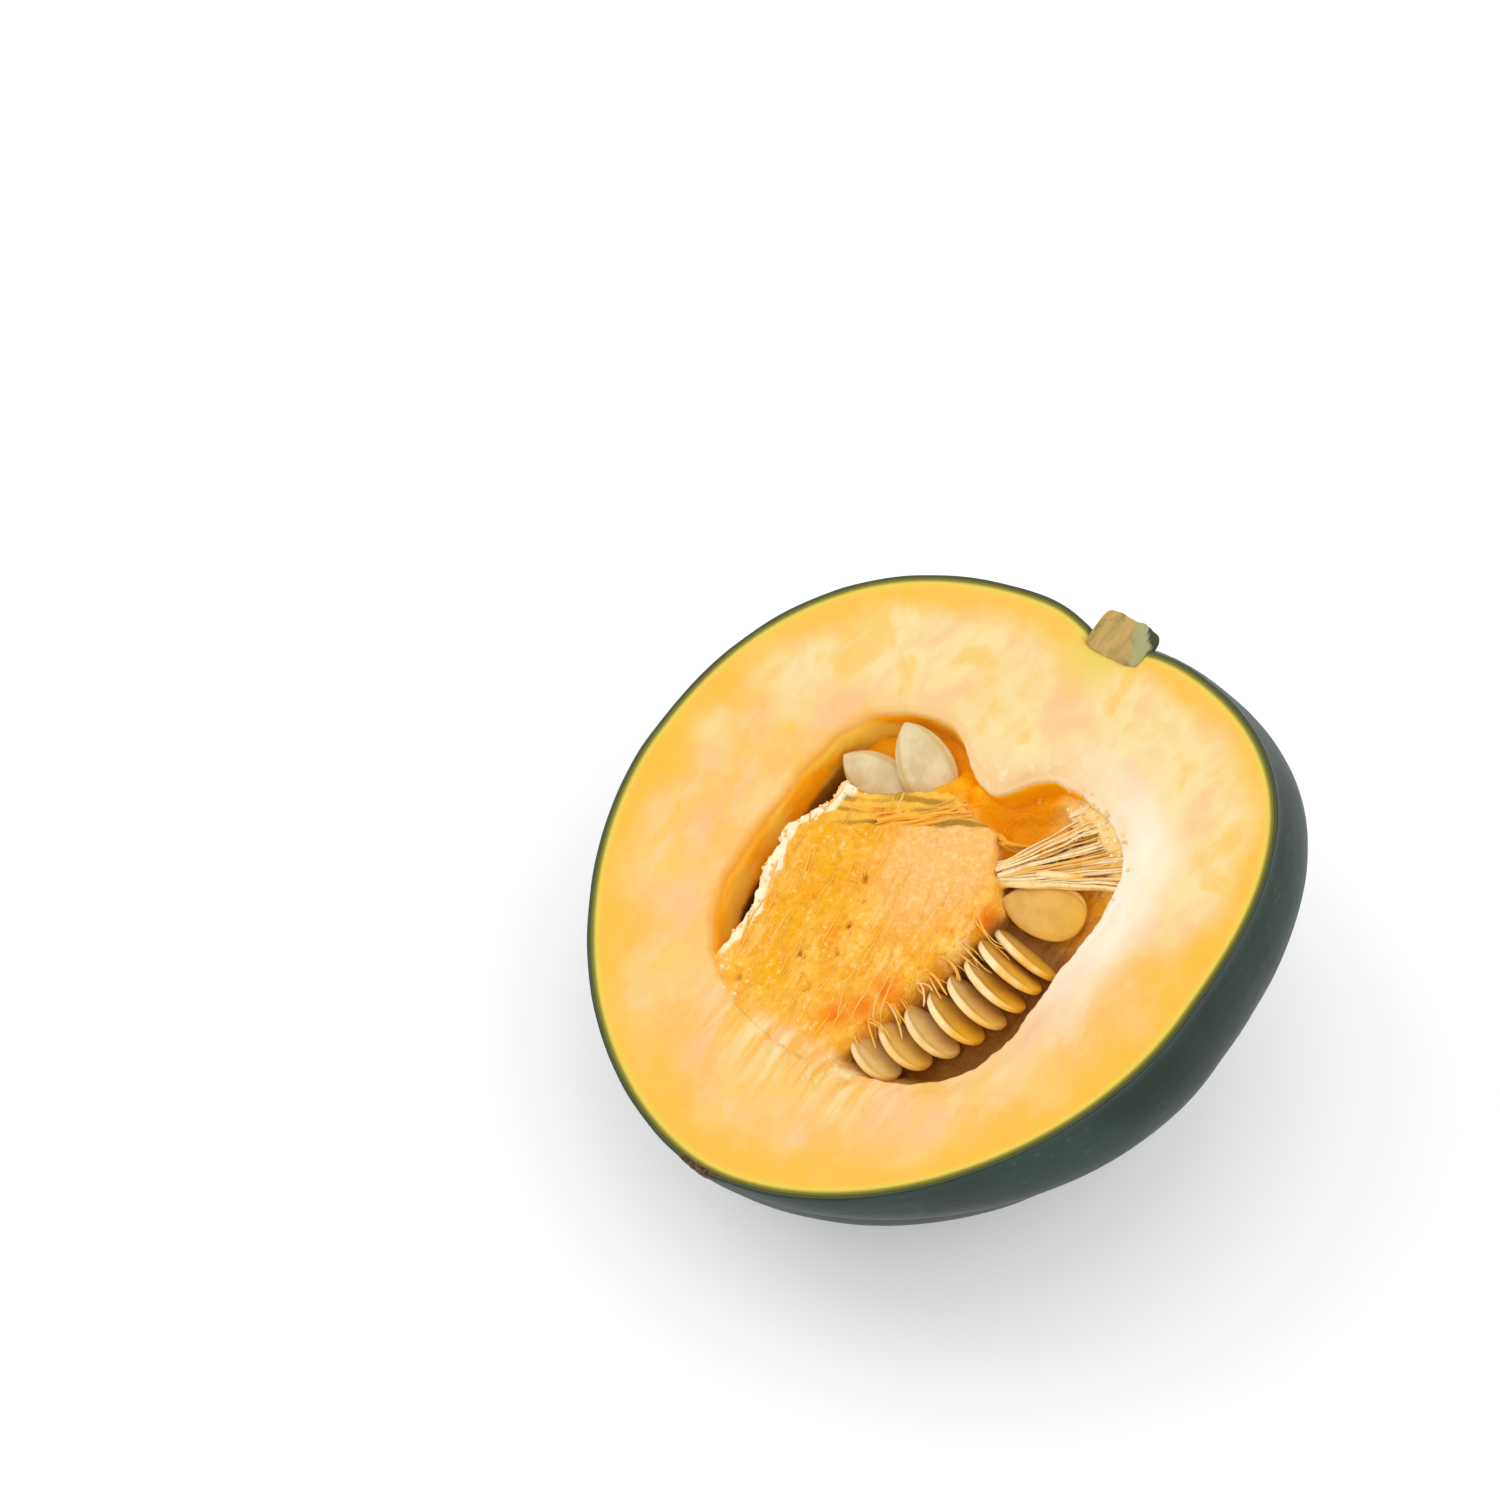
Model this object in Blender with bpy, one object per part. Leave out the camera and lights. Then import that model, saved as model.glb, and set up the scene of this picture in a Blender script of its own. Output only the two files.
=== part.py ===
"""Half an acorn squash, cut lengthwise through the stem and the blossom end.

Metres, +Z up. Every piece is shaped in the fruit's own frame: X runs along the core
towards the stem, Z comes out of the cut face, and the origin is on the core at the
widest station. One empty then lays the half on its ribbed back, cut face up, with
the middle of the underside at the world's origin.
"""
import math

import bmesh
import bpy
from mathutils import Euler, Vector, noise

MM = 0.001
SHARP_ANGLE = math.radians(40.0)

# The fruit's outer skin
BELLY_RADIUS = 67.0 * MM
STEM_SIDE = 62.2 * MM
TIP_SIDE = 68.2 * MM
STEM_FULLNESS = 2.48
TIP_FULLNESS = 1.79
STEM_BOW = -4.8 * MM
BOW_POWER = 1.8
CUT_TILT = math.radians(0.8)
DIMPLE_DEPTH = 3.0 * MM
DIMPLE_RADIUS = 9.0 * MM
RIB_COUNT = 10
RIB_DEPTH = 0.07
RIB_VALLEY_ROUND = 0.15
RIB_CROWDING = math.radians(12.0)
FIRST_CREST = math.radians(-8.7)
UNEVENNESS = 0.5 * MM
UNEVENNESS_SCALE = 1.7
SHOULDER_RISE = 6.5 * MM
SHOULDER_POLAR = math.radians(40.0)
SHOULDER_POLAR_SPREAD = math.radians(36.0)
SHOULDER_ANGLE = math.radians(-60.0)
SHOULDER_ANGLE_SPREAD = math.radians(21.0)
SKIN_SEGMENTS = 80
SKIN_RINGS = 26

# The layers under the skin
RIND_THICKNESS = 1.2 * MM
GAP = 0.3 * MM

# How the half lies: the stem end and the right rim are raised a little
STEM_LIFT = math.radians(12.8)
RIM_LIFT = math.radians(10.6)
SPOT_DEPTH = 0.7 * MM

# The seed cavity
CAVITY_CENTRE = Vector((-4.0, -3.1, 0.0)) * MM
CAVITY_HALF_LENGTH = 34.8 * MM
CAVITY_HALF_WIDTH = 35.7 * MM
CAVITY_DEPTH = 34.0 * MM
CAVITY_SQUARENESS = 3.2
CAVITY_STEM_SQUARENESS = 0.7
CAVITY_BOWL = 2.4
CAVITY_HEADROOM = 4.0 * MM
CAVITY_SEGMENTS = 48
CAVITY_RINGS = 16
CAVITY_NECK = 0.2
CAVITY_UPRIGHTNESS = 6.0
CAVITY_LID_RISE = 1.5
RIDGE_HEIGHT = 8.5 * MM
RIDGE_RIGHT_ANGLE = 0.16
RIDGE_LEFT_ANGLE = 0.32
RIDGE_LEFT_BLUNTNESS = 4.0

# The pulp: a lump of fibre along the core, over a lower bed that holds the seeds
LUMP_START = 20.0 * MM
LUMP_WIDEST = -2.0 * MM
LUMP_HALF_WIDTH = 22.5 * MM
LUMP_TIP_SHARE = 0.62
LUMP_START_ACROSS = -2.6 * MM
LUMP_SLANT = 0.28
LUMP_SLANT_FROM = 7.0 * MM
LUMP_CORNER_SLANT = 1.1
LUMP_CORNER_ACROSS = -8.8 * MM
LUMP_SHIFT = 8.5 * MM
LUMP_TOP = 0.8 * MM
LUMP_SHOULDER = 4.0 * MM
LUMP_SHOULDER_START = 0.3
LUMP_START_CURVE = 2.2
LUMP_START_BLUNTNESS = 0.6
LUMP_TIP_CURVE = 1.3
BED_DEPTH = 8.0 * MM
HOLLOW_CENTRE = Vector((20.5, -9.0)) * MM
HOLLOW_SPREAD = Vector((7.0, 10.0)) * MM
HOLLOW_DEPTH = 6.5 * MM
SLOT_ACROSS = 28.5 * MM
SLOT_SPREAD = 4.0 * MM
SLOT_DEPTH = 7.5 * MM
SLOT_RUN_OUT = 8.0 * MM
BRIDGE_CENTRE = Vector((20.5, 4.0)) * MM
BRIDGE_SPREAD = Vector((4.0, 4.5)) * MM
BRIDGE_DEPTH = 2.0 * MM
BANK_ANGLE = math.radians(-90.0)
BANK_SPREAD = math.radians(50.0)
BANK_WIDTH = 5.0 * MM
BANK_SHOULDER = 2.5 * MM
BANK_DEPTH = 4.2 * MM
PULP_MARGIN = 2.0 * MM
PULP_CELLS = 28

# Strands that fan out from the lump to the cavity's wall
STRAND_COUNT = 6
STRAND_RADIUS = 0.6 * MM
STRAND_ROOT_RADIUS = 0.9 * MM
STRAND_ROOTS = (Vector((10.5, -11.5, -2.2)) * MM, Vector((6.0, -15.5, -3.2)) * MM)
STRAND_ENDS = (Vector((31.5, -28.0, -1.4)) * MM, Vector((16.5, -39.0, -2.2)) * MM)
STRAND_STAGGER = 1.4 * MM
STRAND_SEGMENTS = 6

# The seeds
SEED_LENGTH = 16.0 * MM
SEED_WIDTH = 10.4 * MM
SEED_THICKNESS = 2.5 * MM
SEED_TAPER = 0.26
SEED_SEGMENTS = 12
SEED_RINGS = 9
POCKET_GAP = 0.36 * MM
ROW_COUNT = 8
ROW_START = Vector((-0.5, -24.8)) * MM
ROW_STEP = 4.5 * MM
ROW_CURVE = 0.33 * MM
ROW_SEED_DEPTH = 5.0 * MM
ROW_FIRST_SUNK = 2.5 * MM
ROW_HEADING = 77.0
ROW_HEADING_STEP = -1.2
ROW_LEAN = 66.0
ROW_LEAN_STEP = -3.5
ROW_PITCH = -4.0
ROW_SIZE = 1.04
ROW_SIZE_STEP = -0.03

# The stem stub
STEM_RADIUS = 6.6 * MM
STEM_BASE = 56.0 * MM
STEM_TOP = 65.0 * MM
STEM_ACROSS = -6.6 * MM
STEM_FLUTES = 5
STEM_FLUTE_DEPTH = 0.14
STEM_SIDE_BLUNTNESS = 0.35
STEM_END_BLUNTNESS = 0.45
STEM_SEGMENTS = 20
STEM_RINGS = 10


def clear_scene():
    """Removes whatever the file starts with."""
    for item in list(bpy.data.objects):
        bpy.data.objects.remove(item)


def make_material(name, colour, roughness):
    """A plain surface colour."""
    material = bpy.data.materials.new(name)
    material.use_nodes = True
    shader = material.node_tree.nodes["Principled BSDF"]
    shader.inputs["Base Color"].default_value = (*colour, 1.0)
    shader.inputs["Roughness"].default_value = roughness
    return material


def make_object(name, bm, collection, material=None):
    """Turns a bmesh into a smooth-shaded object."""
    mesh = bpy.data.meshes.new(name)
    bm.to_mesh(mesh)
    bm.free()
    mesh.shade_smooth()
    mesh.set_sharp_from_angle(angle=SHARP_ANGLE)
    if material:
        mesh.materials.append(material)
    item = bpy.data.objects.new(name, mesh)
    collection.objects.link(item)
    return item


def make_cutter(name, bm, collection):
    """An object that only cuts or trims another."""
    cutter = make_object(name, bm, collection)
    cutter.hide_render = True
    cutter.display_type = 'WIRE'
    return cutter


def combine(item, other, operation):
    """Cuts, trims or joins one object with another."""
    modifier = item.modifiers.new(operation.lower(), 'BOOLEAN')
    modifier.object = other
    modifier.operation = operation


def settle(item):
    """Replaces an object's mesh and modifiers with the shape that they give."""
    graph = bpy.context.evaluated_depsgraph_get()
    mesh = bpy.data.meshes.new_from_object(item.evaluated_get(graph))
    mesh.name = item.name
    mesh.set_sharp_from_angle(angle=SHARP_ANGLE)
    item.modifiers.clear()
    item.data = mesh


def keep_largest(item):
    """Drops the loose scraps that a cut leaves beside the main body."""
    bm = bmesh.new()
    bm.from_mesh(item.data)
    bm.faces.ensure_lookup_table()
    owner = {}
    islands = []
    for start in bm.faces:
        if start in owner:
            continue
        island = [start]
        owner[start] = len(islands)
        for face in island:
            for neighbour in (other for edge in face.edges for other in edge.link_faces):
                if neighbour not in owner:
                    owner[neighbour] = len(islands)
                    island.append(neighbour)
        islands.append(island)
    largest = max(islands, key=len)
    scraps = [face for island in islands if island is not largest for face in island]
    bmesh.ops.delete(bm, geom=scraps, context='FACES')
    bm.to_mesh(item.data)
    bm.free()


def signed_power(value, power):
    """A power that keeps the sign."""
    return math.copysign(abs(value) ** power, value)


def bell(distance, spread):
    """A smooth hump, 1 in the middle."""
    return math.exp(-(distance / spread) ** 2)


def rib_shape(angle):
    """1 on a rib's crest and 0 in the valley beside it; the ribs crowd to one side."""
    turn = angle - FIRST_CREST
    turn -= RIB_CROWDING * (1.0 - math.cos(turn))
    wave = math.cos(0.5 * RIB_COUNT * turn)
    low = RIB_VALLEY_ROUND
    high = math.sqrt(1.0 + low * low)
    return (math.sqrt(wave * wave + low * low) - low) / (high - low)


def skin_point(direction):
    """The skin's place for a direction on the unit sphere, whose Z is the core."""
    along = direction.z
    around = math.hypot(direction.x, direction.y)
    angle = math.atan2(direction.x, -direction.y)
    side, fullness = (STEM_SIDE, STEM_FULLNESS) if along > 0.0 else (TIP_SIDE, TIP_FULLNESS)
    x = side * signed_power(along, 2.0 / fullness)
    radius = BELLY_RADIUS * around ** (2.0 / fullness)
    radius *= 1.0 - RIB_DEPTH * around ** 0.5 * (1.0 - rib_shape(angle))
    radius += UNEVENNESS * around * noise.noise(direction * UNEVENNESS_SCALE)
    if along > 0.0:
        x -= DIMPLE_DEPTH * bell(radius, DIMPLE_RADIUS)
    bow = STEM_BOW * (max(x, 0.0) / STEM_SIDE) ** BOW_POWER
    shoulder = bell(math.atan2(around, along) - SHOULDER_POLAR, SHOULDER_POLAR_SPREAD)
    x += SHOULDER_RISE * shoulder * bell(angle - SHOULDER_ANGLE, SHOULDER_ANGLE_SPREAD)
    drop = math.tan(CUT_TILT) * x
    return Vector((x, bow + radius * math.sin(angle), -radius * math.cos(angle) - drop))


def whole_skin(inset=0.0):
    """The whole fruit's surface, moved in by an even distance."""
    bm = bmesh.new()
    bmesh.ops.create_uvsphere(bm, u_segments=SKIN_SEGMENTS, v_segments=SKIN_RINGS, radius=1.0)
    for vert in bm.verts:
        vert.co = skin_point(vert.co.normalized())
    bm.normal_update()
    moved = [vert.co - vert.normal * inset for vert in bm.verts]
    for vert, place in zip(bm.verts, moved):
        vert.co = place
    return bm


def trim(bm, point, normal):
    """Cuts away what lies past a plane and closes the cut."""
    geometry = bm.verts[:] + bm.edges[:] + bm.faces[:]
    bmesh.ops.bisect_plane(
        bm, geom=geometry, dist=1e-6, plane_co=point, plane_no=normal, clear_outer=True)
    rim = [edge for edge in bm.edges if edge.is_boundary]
    bmesh.ops.holes_fill(bm, edges=rim, sides=0)
    bmesh.ops.recalc_face_normals(bm, faces=bm.faces[:])


def lay_rotation():
    """The turn from the fruit's frame to the world."""
    return Euler((-RIM_LIFT, -STEM_LIFT, 0.0)).to_matrix()


def down_direction():
    """The world's down, in the fruit's frame."""
    return lay_rotation().inverted() @ Vector((0.0, 0.0, -1.0))


def lowest_reach():
    """How far the skin reaches along the world's down."""
    bm = whole_skin()
    down = down_direction()
    reach = max(vert.co.dot(down) for vert in bm.verts if vert.co.z <= 0.0)
    bm.free()
    return reach


def half_body(inset, floor_reach):
    """The half under the cut, with its resting spots trimmed flat."""
    bm = whole_skin(inset)
    down = down_direction()
    trim(bm, Vector(), Vector((0.0, 0.0, 1.0)))
    trim(bm, down * (floor_reach - inset), down)
    return bm


def hollow_core(inset, floor_reach):
    """The whole body under the rind, flat over the resting spots, as a cutter."""
    bm = whole_skin(inset)
    down = down_direction()
    trim(bm, down * (floor_reach - inset), down)
    return bm


def cavity_outline(angle):
    """The seed cavity's reach from its centre, in the cut face."""
    power = CAVITY_SQUARENESS + CAVITY_STEM_SQUARENESS * math.cos(angle)
    along = abs(math.cos(angle) / CAVITY_HALF_LENGTH) ** power
    across = abs(math.sin(angle) / CAVITY_HALF_WIDTH) ** power
    reach = (along + across) ** (-1.0 / power)
    if angle > 0.0:
        return reach - RIDGE_HEIGHT * math.exp(-(angle / RIDGE_LEFT_ANGLE) ** RIDGE_LEFT_BLUNTNESS)
    return reach - RIDGE_HEIGHT * bell(angle, RIDGE_RIGHT_ANGLE)


def cavity_body(inset=0.0):
    """The seed cavity's space, open above the cut face."""
    bm = bmesh.new()
    bmesh.ops.create_uvsphere(bm, u_segments=CAVITY_SEGMENTS, v_segments=CAVITY_RINGS, radius=1.0)
    for vert in bm.verts:
        angle = math.atan2(vert.co.y, vert.co.x)
        around = math.hypot(vert.co.x, vert.co.y)
        if vert.co.z > 0.0:
            upright = 1.0 - (1.0 - around) ** CAVITY_UPRIGHTNESS
            share = upright if around > CAVITY_NECK else around
            height = CAVITY_HEADROOM * min(1.0, vert.co.z * CAVITY_LID_RISE)
        else:
            share = around ** (2.0 / CAVITY_BOWL)
            height = -CAVITY_DEPTH * abs(vert.co.z) ** (2.0 / CAVITY_BOWL)
        reach = share * cavity_outline(angle)
        vert.co = CAVITY_CENTRE + Vector((reach * math.cos(angle), reach * math.sin(angle), height))
    bm.normal_update()
    moved = [vert.co - vert.normal * inset for vert in bm.verts]
    for vert, place in zip(bm.verts, moved):
        vert.co = place
    return bm


def smooth_step(value):
    """0 to 1 with flat ends."""
    value = min(1.0, max(0.0, value))
    return value * value * (3.0 - 2.0 * value)


def lump_half_width(x):
    """Half the fibre lump's width at a station."""
    if x >= LUMP_START:
        return 0.0
    growth = min(1.0, (LUMP_START - x) / (LUMP_START - LUMP_WIDEST))
    width = LUMP_HALF_WIDTH * (1.0 - (1.0 - growth) ** LUMP_START_CURVE) ** LUMP_START_BLUNTNESS
    fade = max(0.0, (LUMP_WIDEST - x) / (CAVITY_HALF_LENGTH + LUMP_WIDEST))
    return width * (1.0 - (1.0 - LUMP_TIP_SHARE) * fade ** LUMP_TIP_CURVE)


def lump_middle(x):
    """The fibre lump's centre line."""
    growth = (LUMP_START - x) / (LUMP_START - LUMP_WIDEST)
    return LUMP_START_ACROSS + LUMP_SHIFT * smooth_step(growth)


def bank_share(x, y):
    """1 on the shelf along the cavity's edge beside the row of seeds, and 0 away from it."""
    angle = math.atan2(y - CAVITY_CENTRE.y, x - CAVITY_CENTRE.x)
    from_edge = cavity_outline(angle) - math.hypot(x - CAVITY_CENTRE.x, y - CAVITY_CENTRE.y)
    return bell(angle - BANK_ANGLE, BANK_SPREAD) * smooth_step((BANK_WIDTH - from_edge) / BANK_SHOULDER)


def pulp_depth(x, y):
    """How far the pulp's top lies under the cut face."""
    hollow = bell(x - HOLLOW_CENTRE.x, HOLLOW_SPREAD.x) * bell(y - HOLLOW_CENTRE.y, HOLLOW_SPREAD.y)
    slot = bell(y - SLOT_ACROSS, SLOT_SPREAD) * smooth_step((LUMP_START - x) / SLOT_RUN_OUT)
    bed = BED_DEPTH + HOLLOW_DEPTH * hollow + SLOT_DEPTH * slot
    start = LUMP_START - LUMP_SLANT * max(0.0, LUMP_SLANT_FROM - y)
    start -= LUMP_CORNER_SLANT * max(0.0, LUMP_CORNER_ACROSS - y)
    past = max(abs(y - lump_middle(x)) - lump_half_width(x), x - start)
    depth = LUMP_TOP + (bed - LUMP_TOP) * smooth_step(past / LUMP_SHOULDER + LUMP_SHOULDER_START)
    depth += (BANK_DEPTH - depth) * bank_share(x, y)
    bridge = bell(x - BRIDGE_CENTRE.x, BRIDGE_SPREAD.x) * bell(y - BRIDGE_CENTRE.y, BRIDGE_SPREAD.y)
    return min(depth, depth + (BRIDGE_DEPTH - depth) * bridge)


def pulp_block():
    """A block with the pulp's own top, wider than the cavity."""
    bm = bmesh.new()
    size = CAVITY_HALF_WIDTH + PULP_MARGIN
    grid = bmesh.ops.create_grid(bm, x_segments=PULP_CELLS, y_segments=PULP_CELLS, size=size)
    for vert in grid["verts"]:
        vert.co += CAVITY_CENTRE
        vert.co.z = -pulp_depth(vert.co.x, vert.co.y)
    sheet = bm.faces[:]
    lower = bmesh.ops.extrude_face_region(bm, geom=sheet)
    for vert in (part for part in lower["geom"] if isinstance(part, bmesh.types.BMVert)):
        vert.co.z = -CAVITY_DEPTH - PULP_MARGIN
    bmesh.ops.recalc_face_normals(bm, faces=bm.faces[:])
    return bm


def strand_bodies(collection):
    """Tapered strands from the lump's flank to the cavity's wall, by the stem."""
    strands = bpy.data.collections.new("strands")
    collection.children.link(strands)
    for index in range(STRAND_COUNT):
        share = index / (STRAND_COUNT - 1)
        root = STRAND_ROOTS[0].lerp(STRAND_ROOTS[1], share)
        end = STRAND_ENDS[0].lerp(STRAND_ENDS[1], share)
        end.z -= STRAND_STAGGER * (index % 2)
        end.x += STRAND_STAGGER * math.sin(2.0 * index)
        run = end - root
        bm = bmesh.new()
        bmesh.ops.create_cone(
            bm, cap_ends=True, segments=STRAND_SEGMENTS, radius1=STRAND_ROOT_RADIUS,
            radius2=STRAND_RADIUS, depth=run.length)
        turn = run.to_track_quat('Z', 'Y').to_matrix()
        for vert in bm.verts:
            vert.co = root + 0.5 * run + turn @ vert.co
        make_cutter(f"strand_{index + 1}", bm, strands)
    return strands


def seed_specs():
    """Each seed's name, place, pointed end's heading, pitch and lean in degrees, and size."""
    specs = [
        ("seed_by_wall", Vector((15.4, 22.0, -6.6)) * MM, 86.0, 12.0, -14.0, 0.94),
        ("seed_upright", Vector((22.0, 14.2, -4.2)) * MM, 57.0, 25.0, -5.0, 1.03),
        ("seed_flat", Vector((7.9, -24.0, -5.2)) * MM, 106.0, 4.0, -6.0, 1.03),
        ("seed_under_strands", Vector((14.9, -20.8, -7.4)) * MM, 113.0, 0.0, 72.0, 0.98),
    ]
    for index in range(ROW_COUNT):
        place = Vector((
            ROW_START.x - ROW_STEP * index,
            ROW_START.y + ROW_CURVE * max(0, index - 1) ** 2,
            -ROW_SEED_DEPTH - (ROW_FIRST_SUNK if index == 0 else 0.0)))
        heading = ROW_HEADING + ROW_HEADING_STEP * index
        lean = ROW_LEAN + ROW_LEAN_STEP * index
        size = ROW_SIZE + ROW_SIZE_STEP * index
        specs.append((f"seed_row_{index + 1}", place, heading, ROW_PITCH, lean, size))
    return specs


def seed_body(place, heading, pitch, lean, size, grow=0.0):
    """A flat drop-shaped seed, its pointed end along the heading."""
    bm = bmesh.new()
    bmesh.ops.create_uvsphere(bm, u_segments=SEED_SEGMENTS, v_segments=SEED_RINGS, radius=1.0)
    turn = Euler((math.radians(lean), math.radians(-pitch), math.radians(heading))).to_matrix()
    half_length = 0.5 * SEED_LENGTH * size + grow
    half_width = 0.5 * SEED_WIDTH * size + grow
    half_thickness = 0.5 * SEED_THICKNESS + grow
    for vert in bm.verts:
        along = vert.co.z
        taper = 1.0 - SEED_TAPER * along
        vert.co = place + turn @ Vector((
            half_length * along,
            half_width * taper * vert.co.x,
            half_thickness * vert.co.y))
    return bm


def stem_body(grow=0.0):
    """The fluted stub of the stem, rooted in the flesh."""
    bm = bmesh.new()
    bmesh.ops.create_uvsphere(bm, u_segments=STEM_SEGMENTS, v_segments=STEM_RINGS, radius=1.0)
    half_length = 0.5 * (STEM_TOP - STEM_BASE) + grow
    middle = 0.5 * (STEM_TOP + STEM_BASE)
    for vert in bm.verts:
        around = math.hypot(vert.co.x, vert.co.y)
        angle = math.atan2(vert.co.x, -vert.co.y)
        flute = 1.0 - STEM_FLUTE_DEPTH * (0.5 - 0.5 * math.cos(STEM_FLUTES * angle))
        radius = (STEM_RADIUS * flute + grow) * around ** STEM_SIDE_BLUNTNESS
        vert.co = Vector((
            middle + half_length * signed_power(vert.co.z, STEM_END_BLUNTNESS),
            STEM_ACROSS + radius * math.sin(angle),
            -radius * math.cos(angle)))
    return bm


def make_rind(collection, cutters, floor_reach):
    """The thin dark skin, cut flush with the flesh."""
    colour = make_material("rind_green", (0.028, 0.058, 0.045), 0.42)
    rind = make_object("rind", half_body(0.0, floor_reach), collection, colour)
    core = make_cutter("rind_core", hollow_core(RIND_THICKNESS, floor_reach), cutters)
    combine(rind, core, 'DIFFERENCE')
    combine(rind, cutters.objects["stem_socket"], 'DIFFERENCE')
    settle(rind)
    keep_largest(rind)
    return rind


def make_flesh(collection, cutters, floor_reach):
    """The thick flesh with the seed cavity."""
    colour = make_material("flesh_yellow", (0.92, 0.62, 0.22), 0.5)
    flesh = make_object("flesh", half_body(RIND_THICKNESS + GAP, floor_reach), collection, colour)
    cavity = make_cutter("cavity", cavity_body(), cutters)
    combine(flesh, cavity, 'DIFFERENCE')
    combine(flesh, cutters.objects["stem_socket"], 'DIFFERENCE')
    settle(flesh)
    return flesh


def make_pulp(collection, cutters):
    """The fibre lump and its bed, with pockets for the seeds."""
    colour = make_material("pulp_orange", (0.90, 0.48, 0.10), 0.55)
    pulp = make_object("pulp", pulp_block(), collection, colour)
    join = pulp.modifiers.new("strands", 'BOOLEAN')
    join.operand_type = 'COLLECTION'
    join.collection = strand_bodies(cutters)
    join.operation = 'UNION'
    combine(pulp, make_cutter("pulp_bowl", cavity_body(GAP), cutters), 'INTERSECT')
    for name, place, heading, pitch, lean, size in seed_specs():
        pocket = seed_body(place, heading, pitch, lean, size, POCKET_GAP)
        combine(pulp, make_cutter(f"pocket_{name}", pocket, cutters), 'DIFFERENCE')
    settle(pulp)
    keep_largest(pulp)
    return pulp


def make_seeds(collection):
    """One object for each seed."""
    colour = make_material("seed_cream", (0.78, 0.62, 0.36), 0.5)
    seeds = []
    for name, place, heading, pitch, lean, size in seed_specs():
        seeds.append(make_object(name, seed_body(place, heading, pitch, lean, size), collection, colour))
    return seeds


def make_stem(collection):
    """The stem stub, cut in half with the fruit."""
    colour = make_material("stem_cork", (0.45, 0.38, 0.22), 0.7)
    bm = stem_body()
    trim(bm, Vector(), Vector((0.0, 0.0, 1.0)))
    return make_object("stem", bm, collection, colour)


def lay_down(pieces, collection):
    """Turns the half on its back and puts the origin under its middle."""
    holder = bpy.data.objects.new("lay", None)
    collection.objects.link(holder)
    turn = lay_rotation()
    places = [turn @ vert.co for piece in pieces for vert in piece.data.vertices]
    lows = [min(place[axis] for place in places) for axis in range(3)]
    highs = [max(place[axis] for place in places) for axis in range(3)]
    holder.rotation_euler = turn.to_euler()
    holder.location = Vector((-0.5 * (lows[0] + highs[0]), -0.5 * (lows[1] + highs[1]), -lows[2]))
    for piece in pieces:
        piece.parent = holder


def main():
    """Builds the half squash."""
    clear_scene()
    model = bpy.data.collections.new("acorn_squash_half")
    cutters = bpy.data.collections.new("cutters")
    bpy.context.scene.collection.children.link(model)
    bpy.context.scene.collection.children.link(cutters)
    floor_reach = lowest_reach() - SPOT_DEPTH
    make_cutter("stem_socket", stem_body(GAP), cutters)
    pieces = [
        make_rind(model, cutters, floor_reach),
        make_flesh(model, cutters, floor_reach),
        make_pulp(model, cutters),
        make_stem(model),
        *make_seeds(model),
    ]
    lay_down(pieces, model)


main()
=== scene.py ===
import math

import bmesh
import bpy
import numpy as np
from mathutils import Euler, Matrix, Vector, noise


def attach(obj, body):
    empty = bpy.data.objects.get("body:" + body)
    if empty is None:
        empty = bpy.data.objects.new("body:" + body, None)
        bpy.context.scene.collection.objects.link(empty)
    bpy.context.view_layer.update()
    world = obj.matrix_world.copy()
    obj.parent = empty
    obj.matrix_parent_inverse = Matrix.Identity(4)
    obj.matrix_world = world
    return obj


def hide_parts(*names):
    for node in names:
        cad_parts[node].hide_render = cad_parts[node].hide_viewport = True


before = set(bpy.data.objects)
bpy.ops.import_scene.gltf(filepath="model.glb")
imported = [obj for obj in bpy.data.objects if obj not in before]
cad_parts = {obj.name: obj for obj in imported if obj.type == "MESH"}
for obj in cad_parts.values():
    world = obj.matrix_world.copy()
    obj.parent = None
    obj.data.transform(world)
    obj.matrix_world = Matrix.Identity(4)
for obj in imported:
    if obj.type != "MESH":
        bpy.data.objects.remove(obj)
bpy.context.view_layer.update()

# Lengths carry MM. Bearings round the cavity and their spreads are in degrees, from the stem at 0
MM = 0.001

# The fruit's own frame: X along the core to the stem, Z out of the cut, as the solids were shaped
STEM_LIFT = math.radians(12.8)
RIM_LIFT = math.radians(10.6)
CORE_PLACE = np.array((0.897, 1.942, 63.334)) * MM
LAY_TURN = Euler((-RIM_LIFT, -STEM_LIFT, 0.0))

# The skin
BELLY_RADIUS = 67.0 * MM
STEM_SIDE = 62.2 * MM
TIP_SIDE = 68.2 * MM
STEM_FULLNESS = 2.48
TIP_FULLNESS = 1.79
STEM_BOW = -4.8 * MM
BOW_POWER = 1.8
CUT_TILT = math.radians(0.8)
DIMPLE_DEPTH = 3.0 * MM
DIMPLE_RADIUS = 9.0 * MM
RIB_COUNT = 10
RIB_DEPTH = 0.07
RIB_VALLEY_ROUND = 0.15
RIB_CROWDING = math.radians(12.0)
FIRST_CREST = math.radians(-8.7)
UNEVENNESS = 0.5 * MM
UNEVEN_SWELLS = 1.7
SHOULDER_RISE = 6.5 * MM
SHOULDER_POLAR = math.radians(40.0)
SHOULDER_POLAR_SPREAD = math.radians(36.0)
SHOULDER_ANGLE = math.radians(-60.0)
SHOULDER_ANGLE_SPREAD = math.radians(21.0)
RIM_SEARCH_TILT = 0.3
RIM_SEARCH_STEPS = 24
RIND_SHOWN = 0.8 * MM
SCAR_PLACE = np.array((-67.0, 0.5, 0.0)) * MM
SCAR_RADIUS = 4.2 * MM
SCAR_RAGGEDNESS = 0.35
SCAR_LIFT = 0.5 * MM
SKIN_RIPPLE = 0.12 * MM

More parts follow.
